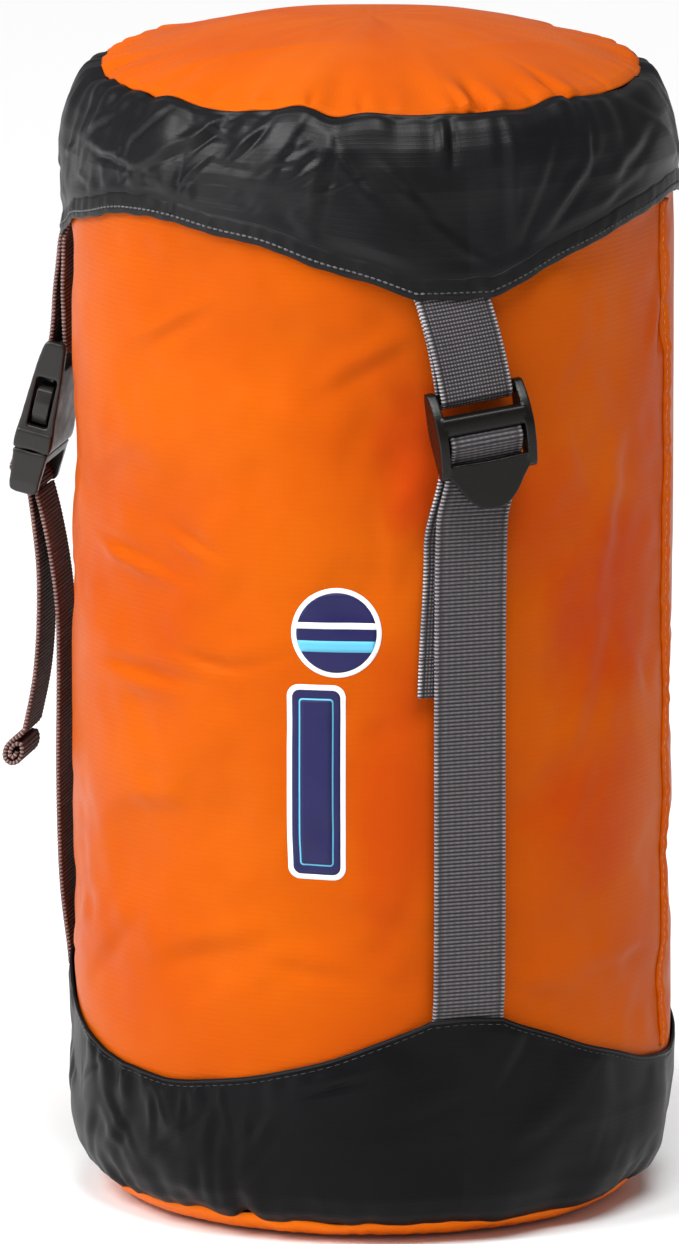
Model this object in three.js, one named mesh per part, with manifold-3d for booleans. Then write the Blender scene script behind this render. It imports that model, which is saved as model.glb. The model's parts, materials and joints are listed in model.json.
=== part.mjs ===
// Compression sack: a gathered stuff sack with a domed lid that is pulled down by three webbing straps.
//
// Millimetres, +Z up, origin in the middle of the flat base.
// An azimuth runs round the sack from the front strap at -Y: 0 is the front, 90 degrees is +X.
// Strap hardware is drawn at the front in side view (radius from the axis, height) and turned into place.

import * as THREE from 'three';
import { mergeVertices } from 'three/addons/utils/BufferGeometryUtils.js';
import Module from 'manifold-3d';

const wasm = await Module();
wasm.setup();

// ---------- driving dimensions ----------

const bodyRadius = 97.5;
const fabric = 1.2;
const seamGap = 0.3;
const roundSegments = 48;

const flatBaseRadius = 76;
const baseRingRadius = 86.5;
const baseRingHeight = 5.2;
const yokeLowHeight = 50;
const yokeTipHeight = 76;
const yokeStraightHeight = 36;

const bodyTopHeight = 338;
const shoulderHeight = 366;
const mouthRadius = 17;
const mouthHeight = 376;

const lidTopHeight = 388;
const lidRingRadius = 87.6;
const lidRingHeight = 372.2;
const skirtRadius = 98.4;
const skirtBendHeight = 346;
const hemTipHeight = 312;
const hemHighHeight = 334;
const hemBand = 7;
const lidTwist = -3;

const strapAzimuths = { front: 0, left: -120, right: 120 };
const scallopPower = 1.62;
const scallopFlat = 7;
const scallopReach = 60;

const webbingWidth = 24;
const webbing = 1.4;
const barRadius = 1.6;
const barClearance = 0.35;

const sideTilt = -13;
const sideBarRadius = 101.9;
const sideBarHeight = 275.8;
const buckleWidth = 33;
const cheek = 3.6;

const frontBarRadius = 102.6;
const frontBarHeight = 281;
const frontBarShift = 1.2;
const frontTurn = -7;
const frontLoopTurn = -8;

const cordRadius = 1.5;
const cordRingRadius = 21;
const cordHeight = 373;

// ---------- materials ----------

const finish = (color, roughness, metalness = 0) =>
  new THREE.MeshStandardMaterial({ color, roughness, metalness });
const orangeNylon = finish(0xe8681a, 0.5);
const blackNylon = finish(0x232325, 0.45);
const greyWebbing = finish(0x5c575b, 0.85);
const blackPlastic = finish(0x1d1c1c, 0.4);
const springSteel = finish(0xb9bcc0, 0.3, 1);
const navyPrint = finish(0x1c3464, 0.5);
const cordSheath = finish(0x2b2b2d, 0.8);

// ---------- shape helpers ----------

const radians = THREE.MathUtils.degToRad;
const point = (a, b) => new THREE.Vector2(a, b);

// A profile in (radius, height), listed anticlockwise, turned about the sack's axis.
function turned(profile, segments = roundSegments) {
  const geometry = new THREE.LatheGeometry(profile.map(([r, h]) => point(r, h)), segments);
  return geometry.rotateX(Math.PI / 2);
}

const closed = (profile) => [...profile, profile[0]];

// Moves every vertex in height by a rule of its azimuth and height.
function reshapeHeight(geometry, rule) {
  const position = geometry.attributes.position;
  for (let i = 0; i < position.count; i++) {
    const azimuth = THREE.MathUtils.radToDeg(Math.atan2(position.getX(i), -position.getY(i)));
    position.setZ(i, rule(azimuth, position.getZ(i)));
  }
  return geometry;
}

// Height of a scalloped edge: flat at each strap's tip, easing away to its far level halfway between straps.
function scallop(azimuth, tip, far) {
  const third = THREE.MathUtils.euclideanModulo(azimuth + scallopReach, 2 * scallopReach);
  const away = Math.max(0, Math.abs(third - scallopReach) - scallopFlat);
  const nearness = Math.max(0, 1 - away / (scallopReach - scallopFlat));
  return far + (tip - far) * nearness ** scallopPower;
}

const hemEdge = (azimuth) => scallop(azimuth - lidTwist, hemTipHeight, hemHighHeight);
const yokeEdge = (azimuth) => scallop(azimuth, yokeTipHeight, yokeLowHeight);

// A side-view outline in (radius, height), spread across the strap's width.
function sideways(outline, width, hole) {
  const shape = new THREE.Shape(outline.map(([r, h]) => point(r, h)));
  if (hole) {
    shape.holes.push(new THREE.Path(hole.map(([r, h]) => point(r, h))));
  }
  const geometry = new THREE.ExtrudeGeometry(shape, { depth: width, bevelEnabled: false });
  geometry.translate(0, 0, -width / 2);
  const outward = new THREE.Vector3(0, -1, 0);
  const up = new THREE.Vector3(0, 0, 1);
  const across = new THREE.Vector3(-1, 0, 0);
  return geometry.applyMatrix4(new THREE.Matrix4().makeBasis(outward, up, across));
}

// A front-view shape in (across, height), pushed outward from one radius to another.
function outwards(shape, fromRadius, toRadius) {
  const geometry = new THREE.ExtrudeGeometry(shape, {
    depth: toRadius - fromRadius,
    bevelEnabled: false,
    curveSegments: 8,
  });
  geometry.translate(0, 0, fromRadius);
  const across = new THREE.Vector3(1, 0, 0);
  const up = new THREE.Vector3(0, 0, 1);
  const outward = new THREE.Vector3(0, -1, 0);
  return geometry.applyMatrix4(new THREE.Matrix4().makeBasis(across, up, outward));
}

// The outline of a band of webbing laid along a side-view path.
function bandOutline(path, steps, thickness = webbing) {
  const curve = new THREE.SplineCurve(path.map(([r, h]) => point(r, h)));
  const near = [];
  const far = [];
  for (let i = 0; i <= steps; i++) {
    const at = curve.getPoint(i / steps);
    const along = curve.getTangent(i / steps);
    near.push([at.x - (along.y * thickness) / 2, at.y + (along.x * thickness) / 2]);
    far.unshift([at.x + (along.y * thickness) / 2, at.y - (along.x * thickness) / 2]);
  }
  return [...far.reverse(), ...near.reverse()];
}

const band = (path, steps, width = webbingWidth, thickness = webbing) =>
  sideways(bandOutline(path, steps, thickness), width);

function box(lowX, highX, lowOut, highOut, lowZ, highZ) {
  const geometry = new THREE.BoxGeometry(highX - lowX, highOut - lowOut, highZ - lowZ);
  return geometry.translate((lowX + highX) / 2, -(lowOut + highOut) / 2, (lowZ + highZ) / 2);
}

function crossBar(radius, length, out, height, sides = 12) {
  const geometry = new THREE.CylinderGeometry(radius, radius, length, sides);
  return geometry.rotateZ(Math.PI / 2).translate(0, -out, height);
}

function toSolid(geometry) {
  const bare = geometry.clone();
  bare.deleteAttribute('normal');
  bare.deleteAttribute('uv');
  const merged = mergeVertices(bare, 1e-4);
  return new wasm.Manifold(new wasm.Mesh({
    numProp: 3,
    vertProperties: new Float32Array(merged.attributes.position.array),
    triVerts: new Uint32Array(merged.index.array),
  }));
}

function toGeometry(solid) {
  const mesh = solid.getMesh();
  const geometry = new THREE.BufferGeometry();
  geometry.setAttribute('position', new THREE.BufferAttribute(new Float32Array(mesh.vertProperties), 3));
  geometry.setIndex(new THREE.BufferAttribute(new Uint32Array(mesh.triVerts), 1));
  return geometry;
}

function carve(base, cuts, additions = []) {
  let solid = toSolid(base);
  for (const cut of cuts) {
    solid = solid.subtract(toSolid(cut));
  }
  for (const addition of additions) {
    solid = solid.add(toSolid(addition));
  }
  return toGeometry(solid);
}

const sack = new THREE.Group();

function piece(parent, name, geometry, material) {
  const mesh = new THREE.Mesh(geometry, material);
  mesh.name = name;
  parent.add(mesh);
  return mesh;
}

function groupAt(parent, azimuth) {
  const group = new THREE.Group();
  group.rotation.z = radians(azimuth);
  parent.add(group);
  return group;
}

// ---------- the stuff sack ----------

function baseDisc() {
  return turned([
    [0, 0],
    [flatBaseRadius, 0],
    [82, 1.2],
    [baseRingRadius, baseRingHeight],
    [baseRingRadius - 0.9, baseRingHeight + 1],
    [81.4, 1.2 + fabric],
    [flatBaseRadius - 0.4, fabric],
    [0, fabric],
  ]);
}

function baseYoke() {
  const inner = bodyRadius + seamGap;
  const outer = inner + fabric;
  const straight = yokeStraightHeight;
  const geometry = turned(closed([
    [baseRingRadius + 0.9, baseRingHeight + 0.7],
    [92.2, 9.6],
    [95.8, 16.2],
    [97.8, 25],
    [outer, straight],
    [outer, yokeTipHeight],
    [inner, yokeTipHeight],
    [inner, straight],
    [96.6, 25.4],
    [94.7, 17],
    [91.4, 10.8],
    [baseRingRadius + 0.2, baseRingHeight + 1.8],
  ]));
  return reshapeHeight(geometry, (azimuth, height) => {
    const share = Math.max(0, height - straight) / (yokeTipHeight - straight);
    return Math.min(height, straight) + share * (yokeEdge(azimuth) - straight);
  });
}

function bodyPanel() {
  const inner = bodyRadius - fabric;
  const bottom = yokeStraightHeight + 0.5;
  return turned(closed([
    [bodyRadius, bottom],
    [bodyRadius, bodyTopHeight],
    [inner, bodyTopHeight],
    [inner, bottom],
  ]));
}

function mouthCollar() {
  return turned(closed([
    [97, bodyTopHeight + 0.4],
    [95.8, 346],
    [91, 354.5],
    [83, 361],
    [70, 365],
    [26, shoulderHeight],
    [mouthRadius + 1.5, 368.5],
    [mouthRadius, mouthHeight - 7],
    [mouthRadius - fabric, mouthHeight - 7],
    [mouthRadius, 367.2],
    [25, shoulderHeight - fabric],
    [69.8, 365 - fabric],
    [82.3, 360],
    [90, 353.7],
    [94.6, 345.6],
    [95.8, bodyTopHeight + 0.4],
  ]));
}

// The hollow tunnel that the drawcord runs in, with one slot where both cord ends come out.
function drawcordChannel() {
  const wallInner = cordRadius + 0.7;
  const wallOuter = wallInner + fabric;
  const ringOf = (radius) => new THREE.TorusGeometry(cordRingRadius, radius, 10, 32).translate(0, 0, cordHeight);
  const slot = box(-4.6, 4.6, -(cordRingRadius + 8), -(cordRingRadius - 1), cordHeight - 2.1, cordHeight + 2.1);
  return carve(ringOf(wallOuter), [ringOf(wallInner), slot]);
}

// One cord: a ring in the tunnel and two legs that run back through the cord lock to the knot.
function drawcord() {
  const legSpread = 1.85;
  const legEnd = 57.5;
  const section = new THREE.Shape().absarc(0, 0, cordRadius, 0, 2 * Math.PI);
  const ring = new THREE.TorusGeometry(cordRingRadius, cordRadius, 8, 32).translate(0, 0, cordHeight);
  const legs = [-1, 1].map((side) => {
    const route = new THREE.CatmullRomCurve3([
      new THREE.Vector3(side * legSpread, cordRingRadius - 0.4, cordHeight),
      new THREE.Vector3(side * legSpread, 34, cordHeight),
      new THREE.Vector3(side * legSpread, 49, cordHeight),
      new THREE.Vector3(side * legSpread, legEnd, cordHeight),
    ]);
    return new THREE.ExtrudeGeometry(section, { steps: 10, curveSegments: 4, extrudePath: route });
  });
  return carve(ring, [], legs);
}

function cordKnot() {
  const knot = new THREE.SphereGeometry(4, 10, 8).scale(1.15, 1, 0.9);
  return knot.translate(0, 62.2, cordHeight);
}

function sideSeam() {
  const strip = sideways([
    [bodyRadius + seamGap, yokeLowHeight + 1.5],
    [bodyRadius + seamGap + 0.6, yokeLowHeight + 1.5],
    [bodyRadius + seamGap + 0.6, hemHighHeight - 2],
    [bodyRadius + seamGap, hemHighHeight - 2],
  ], 7);
  return strip;
}

function roundedRectangle(width, height, corner) {
  const shape = new THREE.Shape();
  const x = width / 2 - corner;
  const y = height / 2 - corner;
  shape.absarc(x, y, corner, 0, Math.PI / 2);
  shape.absarc(-x, y, corner, Math.PI / 2, Math.PI);
  shape.absarc(-x, -y, corner, Math.PI, 1.5 * Math.PI);
  shape.absarc(x, -y, corner, 1.5 * Math.PI, 2 * Math.PI);
  return shape;
}

function labelPanel() {
  const plate = outwards(roundedRectangle(19, 64, 4), bodyRadius + 0.4, bodyRadius + 0.9);
  return plate.translate(0, 0, 154);
}

function labelBadge() {
  const circle = new THREE.Shape().absarc(0, 0, 14.5, 0, 2 * Math.PI);
  const plate = outwards(circle, bodyRadius + 0.4, bodyRadius + 0.9);
  return plate.translate(0, 0, 203);
}

// ---------- the lid ----------

function lidDisc() {
  const domeHeight = (radius) =>
    lidTopHeight - (lidTopHeight - lidRingHeight) * (radius / lidRingRadius) ** 2.2;
  const radii = [84, 76, 64, 48, 30];
  const top = radii.map((radius) => [radius, domeHeight(radius)]);
  const under = [...radii].reverse().map((radius) => [radius - 0.3, domeHeight(radius) - fabric]);
  return turned([
    [0, lidTopHeight - fabric],
    ...under,
    [lidRingRadius - 0.6, lidRingHeight - 1],
    [lidRingRadius, lidRingHeight],
    ...top,
    [0, lidTopHeight],
  ]);
}

function lidSkirt() {
  const outer = skirtRadius + fabric;
  const geometry = turned(closed([
    [outer, hemTipHeight],
    [outer, skirtBendHeight],
    [98.6, 353],
    [96.5, 360],
    [93, 366.5],
    [lidRingRadius + 1, lidRingHeight - 0.6],
    [lidRingRadius + 0.4, lidRingHeight - 1.8],
    [92, 365.6],
    [95.4, 359.4],
    [97.4, 352.6],
    [skirtRadius, skirtBendHeight],
    [skirtRadius, hemTipHeight],
  ]));
  return reshapeHeight(geometry, (azimuth, height) => {
    const share = Math.max(0, skirtBendHeight - height) / (skirtBendHeight - hemTipHeight);
    return Math.max(height, skirtBendHeight) - share * (skirtBendHeight - hemEdge(azimuth));
  });
}

function lidHem() {
  const inner = skirtRadius + fabric + seamGap;
  const outer = inner + 0.8;
  const geometry = turned(closed([[outer, 0], [outer, hemBand], [inner, hemBand], [inner, 0]]));
  return reshapeHeight(geometry, (azimuth, height) => height + hemEdge(azimuth));
}

// ---------- webbing round a bar ----------

// A folded loop of webbing in side view: both layers meet at the top and part to go round the bar.
function buckleLoop(length, spread) {
  const inside = barRadius + barClearance;
  const outside = inside + webbing;
  const arc = (radius, from, to, steps) => {
    const points = [];
    for (let i = 0; i <= steps; i++) {
      const angle = radians(from + ((to - from) * i) / steps);
      points.push([radius * Math.cos(angle), radius * Math.sin(angle)]);
    }
    return points;
  };
  const outline = [
    [-webbing - 0.1 - spread, length],
    ...arc(outside, 180, 360, 10),
    [webbing + 0.1 - spread, length],
  ];
  const hole = [
    [-0.05 - spread, length - 6],
    ...arc(inside, 180, 360, 8),
  ];
  return sideways(outline, webbingWidth, hole);
}

// The turn that a strap makes over a bar: up behind it, over the front and back under it.
function barWrap(centre, wrapBarRadius, backLeg, frontLeg) {
  const middle = wrapBarRadius + barClearance + webbing / 2;
  const turn = [150, 110, 70, 30, -10, -45].map((angle) => [
    centre[0] + middle * Math.cos(radians(angle)),
    centre[1] + middle * Math.sin(radians(angle)),
  ]);
  return band([backLeg, ...turn, frontLeg], 22);
}

// ---------- side-release buckle, drawn hanging from its bar at the origin ----------

const socketMouth = -34;
const plateTop = -34.6;
const plugBottom = -49;
const wrapBarOut = 2;
const wrapBarDown = -42;

function socketShape() {
  const inner = buckleWidth / 2 - cheek;
  const envelope = sideways([
    [-3.3, 2.2],
    [-4.6, -9],
    [-6, socketMouth],
    [6.4, socketMouth],
    [5, -9],
    [3.3, 2.2],
  ], buckleWidth);
  const strapSlot = box(-inner, inner, -8, 8, -6.4, 4);
  const cavity = box(-inner, inner, -3.4, 3.6, socketMouth - 1, -10);
  const windows = [-1, 1].map((side) =>
    box(side * 14 - 4, side * 14 + 4, -3.4, 3.6, -26, -9.5));
  return carve(envelope, [strapSlot, cavity, ...windows], [crossBar(barRadius, 2 * inner + 2, 0, 0)]);
}

function plugShape() {
  const inner = buckleWidth / 2 - cheek;
  const envelope = sideways([
    [-5.2, plateTop],
    [-4.4, plugBottom],
    [4.8, plugBottom],
    [6, plateTop],
  ], buckleWidth);
  const window = box(-inner, inner, -8, 8, -46.8, -38);
  const legRoom = box(-inner, inner, -8, 2.2, plugBottom - 1, -46);
  return carve(envelope, [window, legRoom], [crossBar(barRadius + 0.3, 2 * inner + 2, wrapBarOut, wrapBarDown)]);
}

// One springy prong with the finger pad that fills the socket's side window.
function prongShape(side) {
  const shape = new THREE.Shape();
  shape.moveTo(side * 7, plateTop + seamGap);
  shape.lineTo(side * 10, plateTop + seamGap);
  shape.lineTo(side * 10.6, -25);
  shape.lineTo(side * 14.6, -24);
  shape.quadraticCurveTo(side * 16.4, -18, side * 14.4, -12.4);
  shape.lineTo(side * 8.4, -12);
  shape.closePath();
  return outwards(shape, -2.6, 2.8);
}

// ---------- ladder lock, drawn hanging from its loop bar at the origin ----------

function ladderLockShape() {
  const inner = 16 - 3;
  const cheekSide = [
    [-2.6, 4],
    [2.6, 4],
    [7.2, -1],
    [9.2, -8],
    [9.6, -15],
    [8.4, -21.5],
    [6.4, -26],
    [4.6, -26],
    [1.6, -20],
    [-1.8, -12],
    [-2.6, -4],
  ];
  const envelope = sideways(cheekSide, 2 * 16);
  const windows = [
    box(-inner, inner, -10, 20, -4.8, 6),
    box(-inner, inner, -10, 20, -20.4, -9),
    box(-inner, inner, -10, 5, -27, -4.8),
    box(-inner, inner, 8.4, 20, -27, -4.8),
  ];
  const tab = new THREE.Shape();
  tab.moveTo(-inner - 1, -21);
  tab.quadraticCurveTo(-12, -33, -4, -35.6);
  tab.quadraticCurveTo(0, -36.6, 4, -35.6);
  tab.quadraticCurveTo(12, -33, inner + 1, -21);
  tab.closePath();
  return carve(envelope, windows, [
    crossBar(barRadius, 2 * inner + 2, 0, 0),
    crossBar(barRadius + 0.3, 2 * inner + 2, 5.2, -14),
    outwards(tab, 5.2, 7.8),
  ]);
}

// ---------- cord lock, drawn across the two cord legs ----------

const lockPlace = [0, 41, cordHeight];
const lockBarrelRadius = 6.6;
const lockBore = 5.1;

function alongX(profile, segments = 20) {
  return turned(profile, segments).rotateY(Math.PI / 2);
}

function lockBarrel() {
  const cup = alongX(closed([
    [lockBarrelRadius, -11],
    [lockBarrelRadius, 8],
    [lockBore, 8],
    [lockBore, -9],
    [0.8, -9],
    [0.8, -11],
  ]));
  return carve(cup, [box(-4, 4, -9, 9, -2.1, 2.1)]);
}

function lockPlunger() {
  const body = alongX([
    [0, -4.5],
    [lockBore - 0.3, -4.5],
    [lockBore - 0.3, 10.2],
    [5.6, 11.2],
    [5.6, 14],
    [4.6, 15],
    [0, 15],
  ]);
  return carve(body, [box(-3.9, 7.2, -9, 9, -2.1, 2.1)]);
}

function lockSpring() {
  const turns = 3;
  const section = new THREE.Shape().absarc(0, 0, 0.35, 0, 2 * Math.PI);
  const points = [];
  for (let i = 0; i <= turns * 8; i++) {
    const angle = (2 * Math.PI * i) / 8;
    points.push(new THREE.Vector3(-8.4 + (3.3 * i) / (turns * 8), 3 * Math.cos(angle), 3 * Math.sin(angle)));
  }
  const route = new THREE.CatmullRomCurve3(points);
  return new THREE.ExtrudeGeometry(section, { steps: turns * 12, curveSegments: 2, extrudePath: route });
}

// ---------- assembly ----------

piece(sack, 'base_disc', baseDisc(), orangeNylon);
piece(sack, 'base_yoke', baseYoke(), blackNylon);
piece(sack, 'body_panel', bodyPanel(), orangeNylon);
piece(groupAt(sack, 58), 'side_seam', sideSeam(), orangeNylon);
piece(groupAt(sack, -28.3), 'label_panel', labelPanel(), navyPrint);
piece(groupAt(sack, -24.5), 'label_badge', labelBadge(), navyPrint);

piece(sack, 'mouth_collar', mouthCollar(), orangeNylon);
piece(sack, 'drawcord_channel', drawcordChannel(), blackNylon);
piece(sack, 'drawcord', drawcord(), cordSheath);
piece(sack, 'drawcord_knot', cordKnot(), cordSheath);

const lock = new THREE.Group();
lock.position.set(...lockPlace);
sack.add(lock);
piece(lock, 'cord_lock_barrel', lockBarrel(), blackPlastic);
piece(lock, 'cord_lock_plunger', lockPlunger(), blackPlastic);
piece(lock, 'cord_lock_spring', lockSpring(), springSteel);

piece(sack, 'lid_disc', lidDisc(), orangeNylon);
piece(sack, 'lid_skirt', lidSkirt(), blackNylon);
piece(sack, 'lid_hem', lidHem(), blackNylon);

// Front strap: a leaning loop, the ladder lock, and the tail tucked behind the standing strap.
function addFrontStrap() {
  const group = groupAt(sack, strapAzimuths.front);
  const hanger = new THREE.Group();
  hanger.position.set(frontBarShift, -frontBarRadius, frontBarHeight);
  group.add(hanger);

  const leaning = new THREE.Group();
  leaning.rotation.y = radians(frontLoopTurn);
  hanger.add(leaning);
  piece(leaning, 'buckle_loop_front', buckleLoop(28.5, 2), greyWebbing);

  const turnedLock = new THREE.Group();
  turnedLock.rotation.y = radians(frontTurn);
  hanger.add(turnedLock);
  piece(turnedLock, 'ladder_lock_front', ladderLockShape(), blackPlastic);
  const wrap = barWrap([5.2, -14], barRadius + 0.3, [-1.2, -22.6], [1.6, -22.6]);
  piece(turnedLock, 'strap_wrap_front', wrap, greyWebbing);

  const standing = band([
    [104, 255.6],
    [103, 244],
    [101.4, 226],
    [100.6, 190],
    [100.4, 130],
    [99.6, 95],
    [98.9, 77.4],
  ], 16);
  standing.translate(0.6, 0, 0);
  piece(group, 'strap_front', standing, greyWebbing);
  const tail = band([[101.2, 255.6], [100.4, 246], [98.9, 230], [98.8, 205], [98.8, 195]], 8);
  tail.translate(-2.4, 0, 0);
  piece(group, 'tail_front', tail, greyWebbing);
  const end = band([[98.8, 194.4], [98.8, 182]], 2);
  end.translate(-4.4, 0, 0);
  piece(group, 'tail_end_front', end, greyWebbing);
}

// Side strap: a straight loop, a side-release buckle that stands off the sack, and a free tail outside.
function addSideStrap(side) {
  const group = groupAt(sack, strapAzimuths[side]);
  const hanger = new THREE.Group();
  hanger.position.set(0, -sideBarRadius, sideBarHeight);
  group.add(hanger);
  piece(hanger, `buckle_loop_${side}`, buckleLoop(35.3, 0.8), greyWebbing);

  const tilted = new THREE.Group();
  tilted.rotation.x = radians(sideTilt);
  hanger.add(tilted);
  piece(tilted, `socket_${side}`, socketShape(), blackPlastic);
  piece(tilted, `plug_${side}`, plugShape(), blackPlastic);
  piece(tilted, `prong_${side}_1`, prongShape(-1), blackPlastic);
  piece(tilted, `prong_${side}_2`, prongShape(1), blackPlastic);
  const wrap = barWrap([wrapBarOut, wrapBarDown], barRadius + 0.3, [-3.6, -47.6], [-1.2, -47.6]);
  piece(tilted, `strap_wrap_${side}`, wrap, greyWebbing);

  const standing = band([
    [109.1, 227.5],
    [106.6, 217.5],
    [103.9, 203],
    [102.2, 187],
    [102, 165],
    [102.3, 135],
    [101.4, 100],
    [98.9, 77.4],
  ], 18);
  piece(group, `strap_${side}`, standing, greyWebbing);
  const tail = band([[111.6, 228.2], [110, 216], [108.6, 201], [108.8, 181], [110.4, 164], [113.6, 148.5]], 14);
  piece(group, `tail_${side}`, tail, greyWebbing);
  const end = band([[114, 147.3], [117.4, 139.9], [121, 133.1]], 4, webbingWidth, 3.2);
  piece(group, `tail_end_${side}`, end, greyWebbing);
}

addFrontStrap();
addSideStrap('left');
addSideStrap('right');

export default sack;
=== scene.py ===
import json
import math

import bmesh
import bpy
import numpy as np
from mathutils import Matrix, Vector
from mathutils.bvhtree import BVHTree


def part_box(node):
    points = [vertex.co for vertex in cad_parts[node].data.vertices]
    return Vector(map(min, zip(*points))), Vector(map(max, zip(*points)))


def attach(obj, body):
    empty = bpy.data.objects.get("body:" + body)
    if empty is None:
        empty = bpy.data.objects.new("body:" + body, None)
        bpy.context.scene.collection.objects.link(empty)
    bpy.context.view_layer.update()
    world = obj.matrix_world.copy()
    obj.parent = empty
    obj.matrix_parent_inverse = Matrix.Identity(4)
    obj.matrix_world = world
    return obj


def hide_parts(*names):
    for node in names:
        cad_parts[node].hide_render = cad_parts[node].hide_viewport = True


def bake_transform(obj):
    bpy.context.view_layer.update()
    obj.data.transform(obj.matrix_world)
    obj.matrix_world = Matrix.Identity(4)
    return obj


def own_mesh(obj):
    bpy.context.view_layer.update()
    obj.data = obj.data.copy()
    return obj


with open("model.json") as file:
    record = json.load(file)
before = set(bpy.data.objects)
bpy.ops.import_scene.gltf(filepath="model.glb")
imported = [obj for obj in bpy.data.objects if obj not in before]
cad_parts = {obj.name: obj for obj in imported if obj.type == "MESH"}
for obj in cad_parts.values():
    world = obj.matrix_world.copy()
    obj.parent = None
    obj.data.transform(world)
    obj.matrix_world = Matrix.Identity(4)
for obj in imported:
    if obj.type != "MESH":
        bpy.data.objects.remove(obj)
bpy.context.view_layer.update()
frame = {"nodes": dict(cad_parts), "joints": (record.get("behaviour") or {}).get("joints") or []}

# Compression sack. Lengths are millimetres here and metres in Blender. An azimuth runs round the sack in
# degrees, from the front strap at 0 towards +X at 90.

MM = 0.001
TAU = 2 * math.pi

# ---------- camera and studio ----------

CAMERA_AZIMUTH = -18.0
CAMERA_ELEVATION = 11.4
CAMERA_DISTANCE = 5.0
CAMERA_LENS = 444.0
CAMERA_SHIFT = -0.0253
AIM_HEIGHT = 0.187


def towards(azimuth, elevation):
    a, e = math.radians(azimuth), math.radians(elevation)
    return Vector((math.sin(a) * math.cos(e), -math.cos(a) * math.cos(e), math.sin(e)))


def new_object(name, data):
    thing = bpy.data.objects.new(name, data)
    bpy.context.scene.collection.objects.link(thing)
    return thing


def look_back(thing, back):
    """Turns a camera or light so that it looks opposite to this direction."""
    thing.rotation_mode = "QUATERNION"
    thing.rotation_quaternion = (-back).to_track_quat("-Z", "Y")


def add_camera():
    data = bpy.data.cameras.new("camera")
    data.sensor_width = 36
    data.lens = CAMERA_LENS
    data.shift_x = CAMERA_SHIFT
    data.clip_end = 100
    camera = new_object("camera", data)
    back = towards(CAMERA_AZIMUTH, CAMERA_ELEVATION)
    camera.location = Vector((0, 0, AIM_HEIGHT)) + back * CAMERA_DISTANCE
    look_back(camera, back)
    bpy.context.scene.camera = camera


def add_softbox(name, azimuth, elevation, distance, width, height, power, aim=(0, 0, 0.2)):
    data = bpy.data.lights.new(name, "AREA")
    data.shape = "RECTANGLE"
    data.size = width
    data.size_y = height
    data.energy = power
    light = new_object(name, data)
    back = towards(azimuth, elevation)
    light.location = Vector(aim) + back * distance
    look_back(light, back)


def add_sun(name, azimuth, elevation, strength, spread):
    data = bpy.data.lights.new(name, "SUN")
    data.energy = strength
    data.angle = math.radians(spread)
    look_back(new_object(name, data), towards(azimuth, elevation))


def add_studio():
    world = bpy.data.worlds.new("studio")
    world.use_nodes = True
    world.node_tree.nodes["Background"].inputs["Color"].default_value = (1, 1, 1, 1)
    world.node_tree.nodes["Background"].inputs["Strength"].default_value = 0.28
    bpy.context.scene.world = world
    bpy.context.scene.view_settings.view_transform = "Standard"
    add_sun("overhead", -4, 67, 2.62, 30)
    add_softbox("key_left", -84, 14, 1.5, 0.5, 1.5, 6.5)
    add_softbox("high_left", -80, 70, 1.3, 0.8, 0.8, 26, aim=towards(-70, 0) * 0.75)
    add_softbox("low_front", 10, 5, 2.2, 1.4, 0.3, 0.8)
    bpy.ops.mesh.primitive_circle_add(vertices=64, radius=9, fill_type="NGON", location=(0, 0, -0.0004))
    floor = bpy.context.object
    floor.name = "floor"
    material = bpy.data.materials.new("pale_floor")
    material.use_nodes = True
    shader = material.node_tree.nodes["Principled BSDF"]
    shader.inputs["Base Color"].default_value = (0.9, 0.9, 0.9, 1)
    shader.inputs["Roughness"].default_value = 0.9
    shader.inputs["Specular IOR Level"].default_value = 0.1
    floor.data.materials.append(material)


add_camera()
add_studio()

# ---------- sizes, read from the frame ----------


def low(node):
    return np.array(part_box(node)[0]) / MM


def high(node):
    return np.array(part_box(node)[1]) / MM


def joint(name):
    return next(j for j in frame["joints"] if j["name"] == name)


BODY_RADIUS = high("body_panel")[0]
BODY_BOTTOM = low("body_panel")[2]
BODY_TOP = high("body_panel")[2]
YOKE_RADIUS = high("base_yoke")[0]
YOKE_TIP = high("base_yoke")[2]
YOKE_LOW = YOKE_TIP - 26
SKIRT_RADIUS = high("lid_skirt")[0]
HEM_TIP = low("lid_skirt")[2]
HEM_BAND = 7.0
HEM_HIGH = high("lid_hem")[2] - HEM_BAND
HEM_TWIST = -3.0
LID_TOP = high("lid_disc")[2]
LID_RING_RADIUS = high("lid_disc")[0]
LID_RING_HEIGHT = low("lid_disc")[2] + 1
BASE_RING_RADIUS = high("base_disc")[0]
BASE_RING_HEIGHT = high("base_disc")[2] - 1
STRAPS = {"front": 0.0, "left": -120.0, "right": 120.0}
SCALLOP_POWER = 1.62
SCALLOP_FLAT = 7.0
SCALLOP_REACH = 60.0
WEBBING_WIDTH = 24.0
WEBBING = 1.4
FABRIC = 0.45


def smooth(value, start, end):
    """0 before start, 1 after end, eased in between."""
    t = np.clip((value - start) / (end - start), 0, 1)
    return t * t * (3 - 2 * t)


def bell(offset, reach):
    """1 where offset is 0, fading to both sides."""
    return np.exp(-((offset / reach) ** 2))


def limited(value, outward, inward):
    """The value eased off towards a limit on each side."""
    return np.where(value > 0, outward * np.tanh(value / outward), inward * np.tanh(value / inward))


def turn_from(azimuth, centre):
    """Signed degrees from centre to azimuth, within half a turn."""
    return (np.asarray(azimuth) - centre + 180) % 360 - 180


def scallop(azimuth, tip, far):
    """Height of an edge that is flat at each strap and eases away halfway between them."""
    third = (np.asarray(azimuth) + SCALLOP_REACH) % (2 * SCALLOP_REACH)
    away = np.maximum(0, np.abs(third - SCALLOP_REACH) - SCALLOP_FLAT)
    nearness = np.maximum(0, 1 - away / (SCALLOP_REACH - SCALLOP_FLAT))
    return far + (tip - far) * nearness**SCALLOP_POWER


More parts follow.
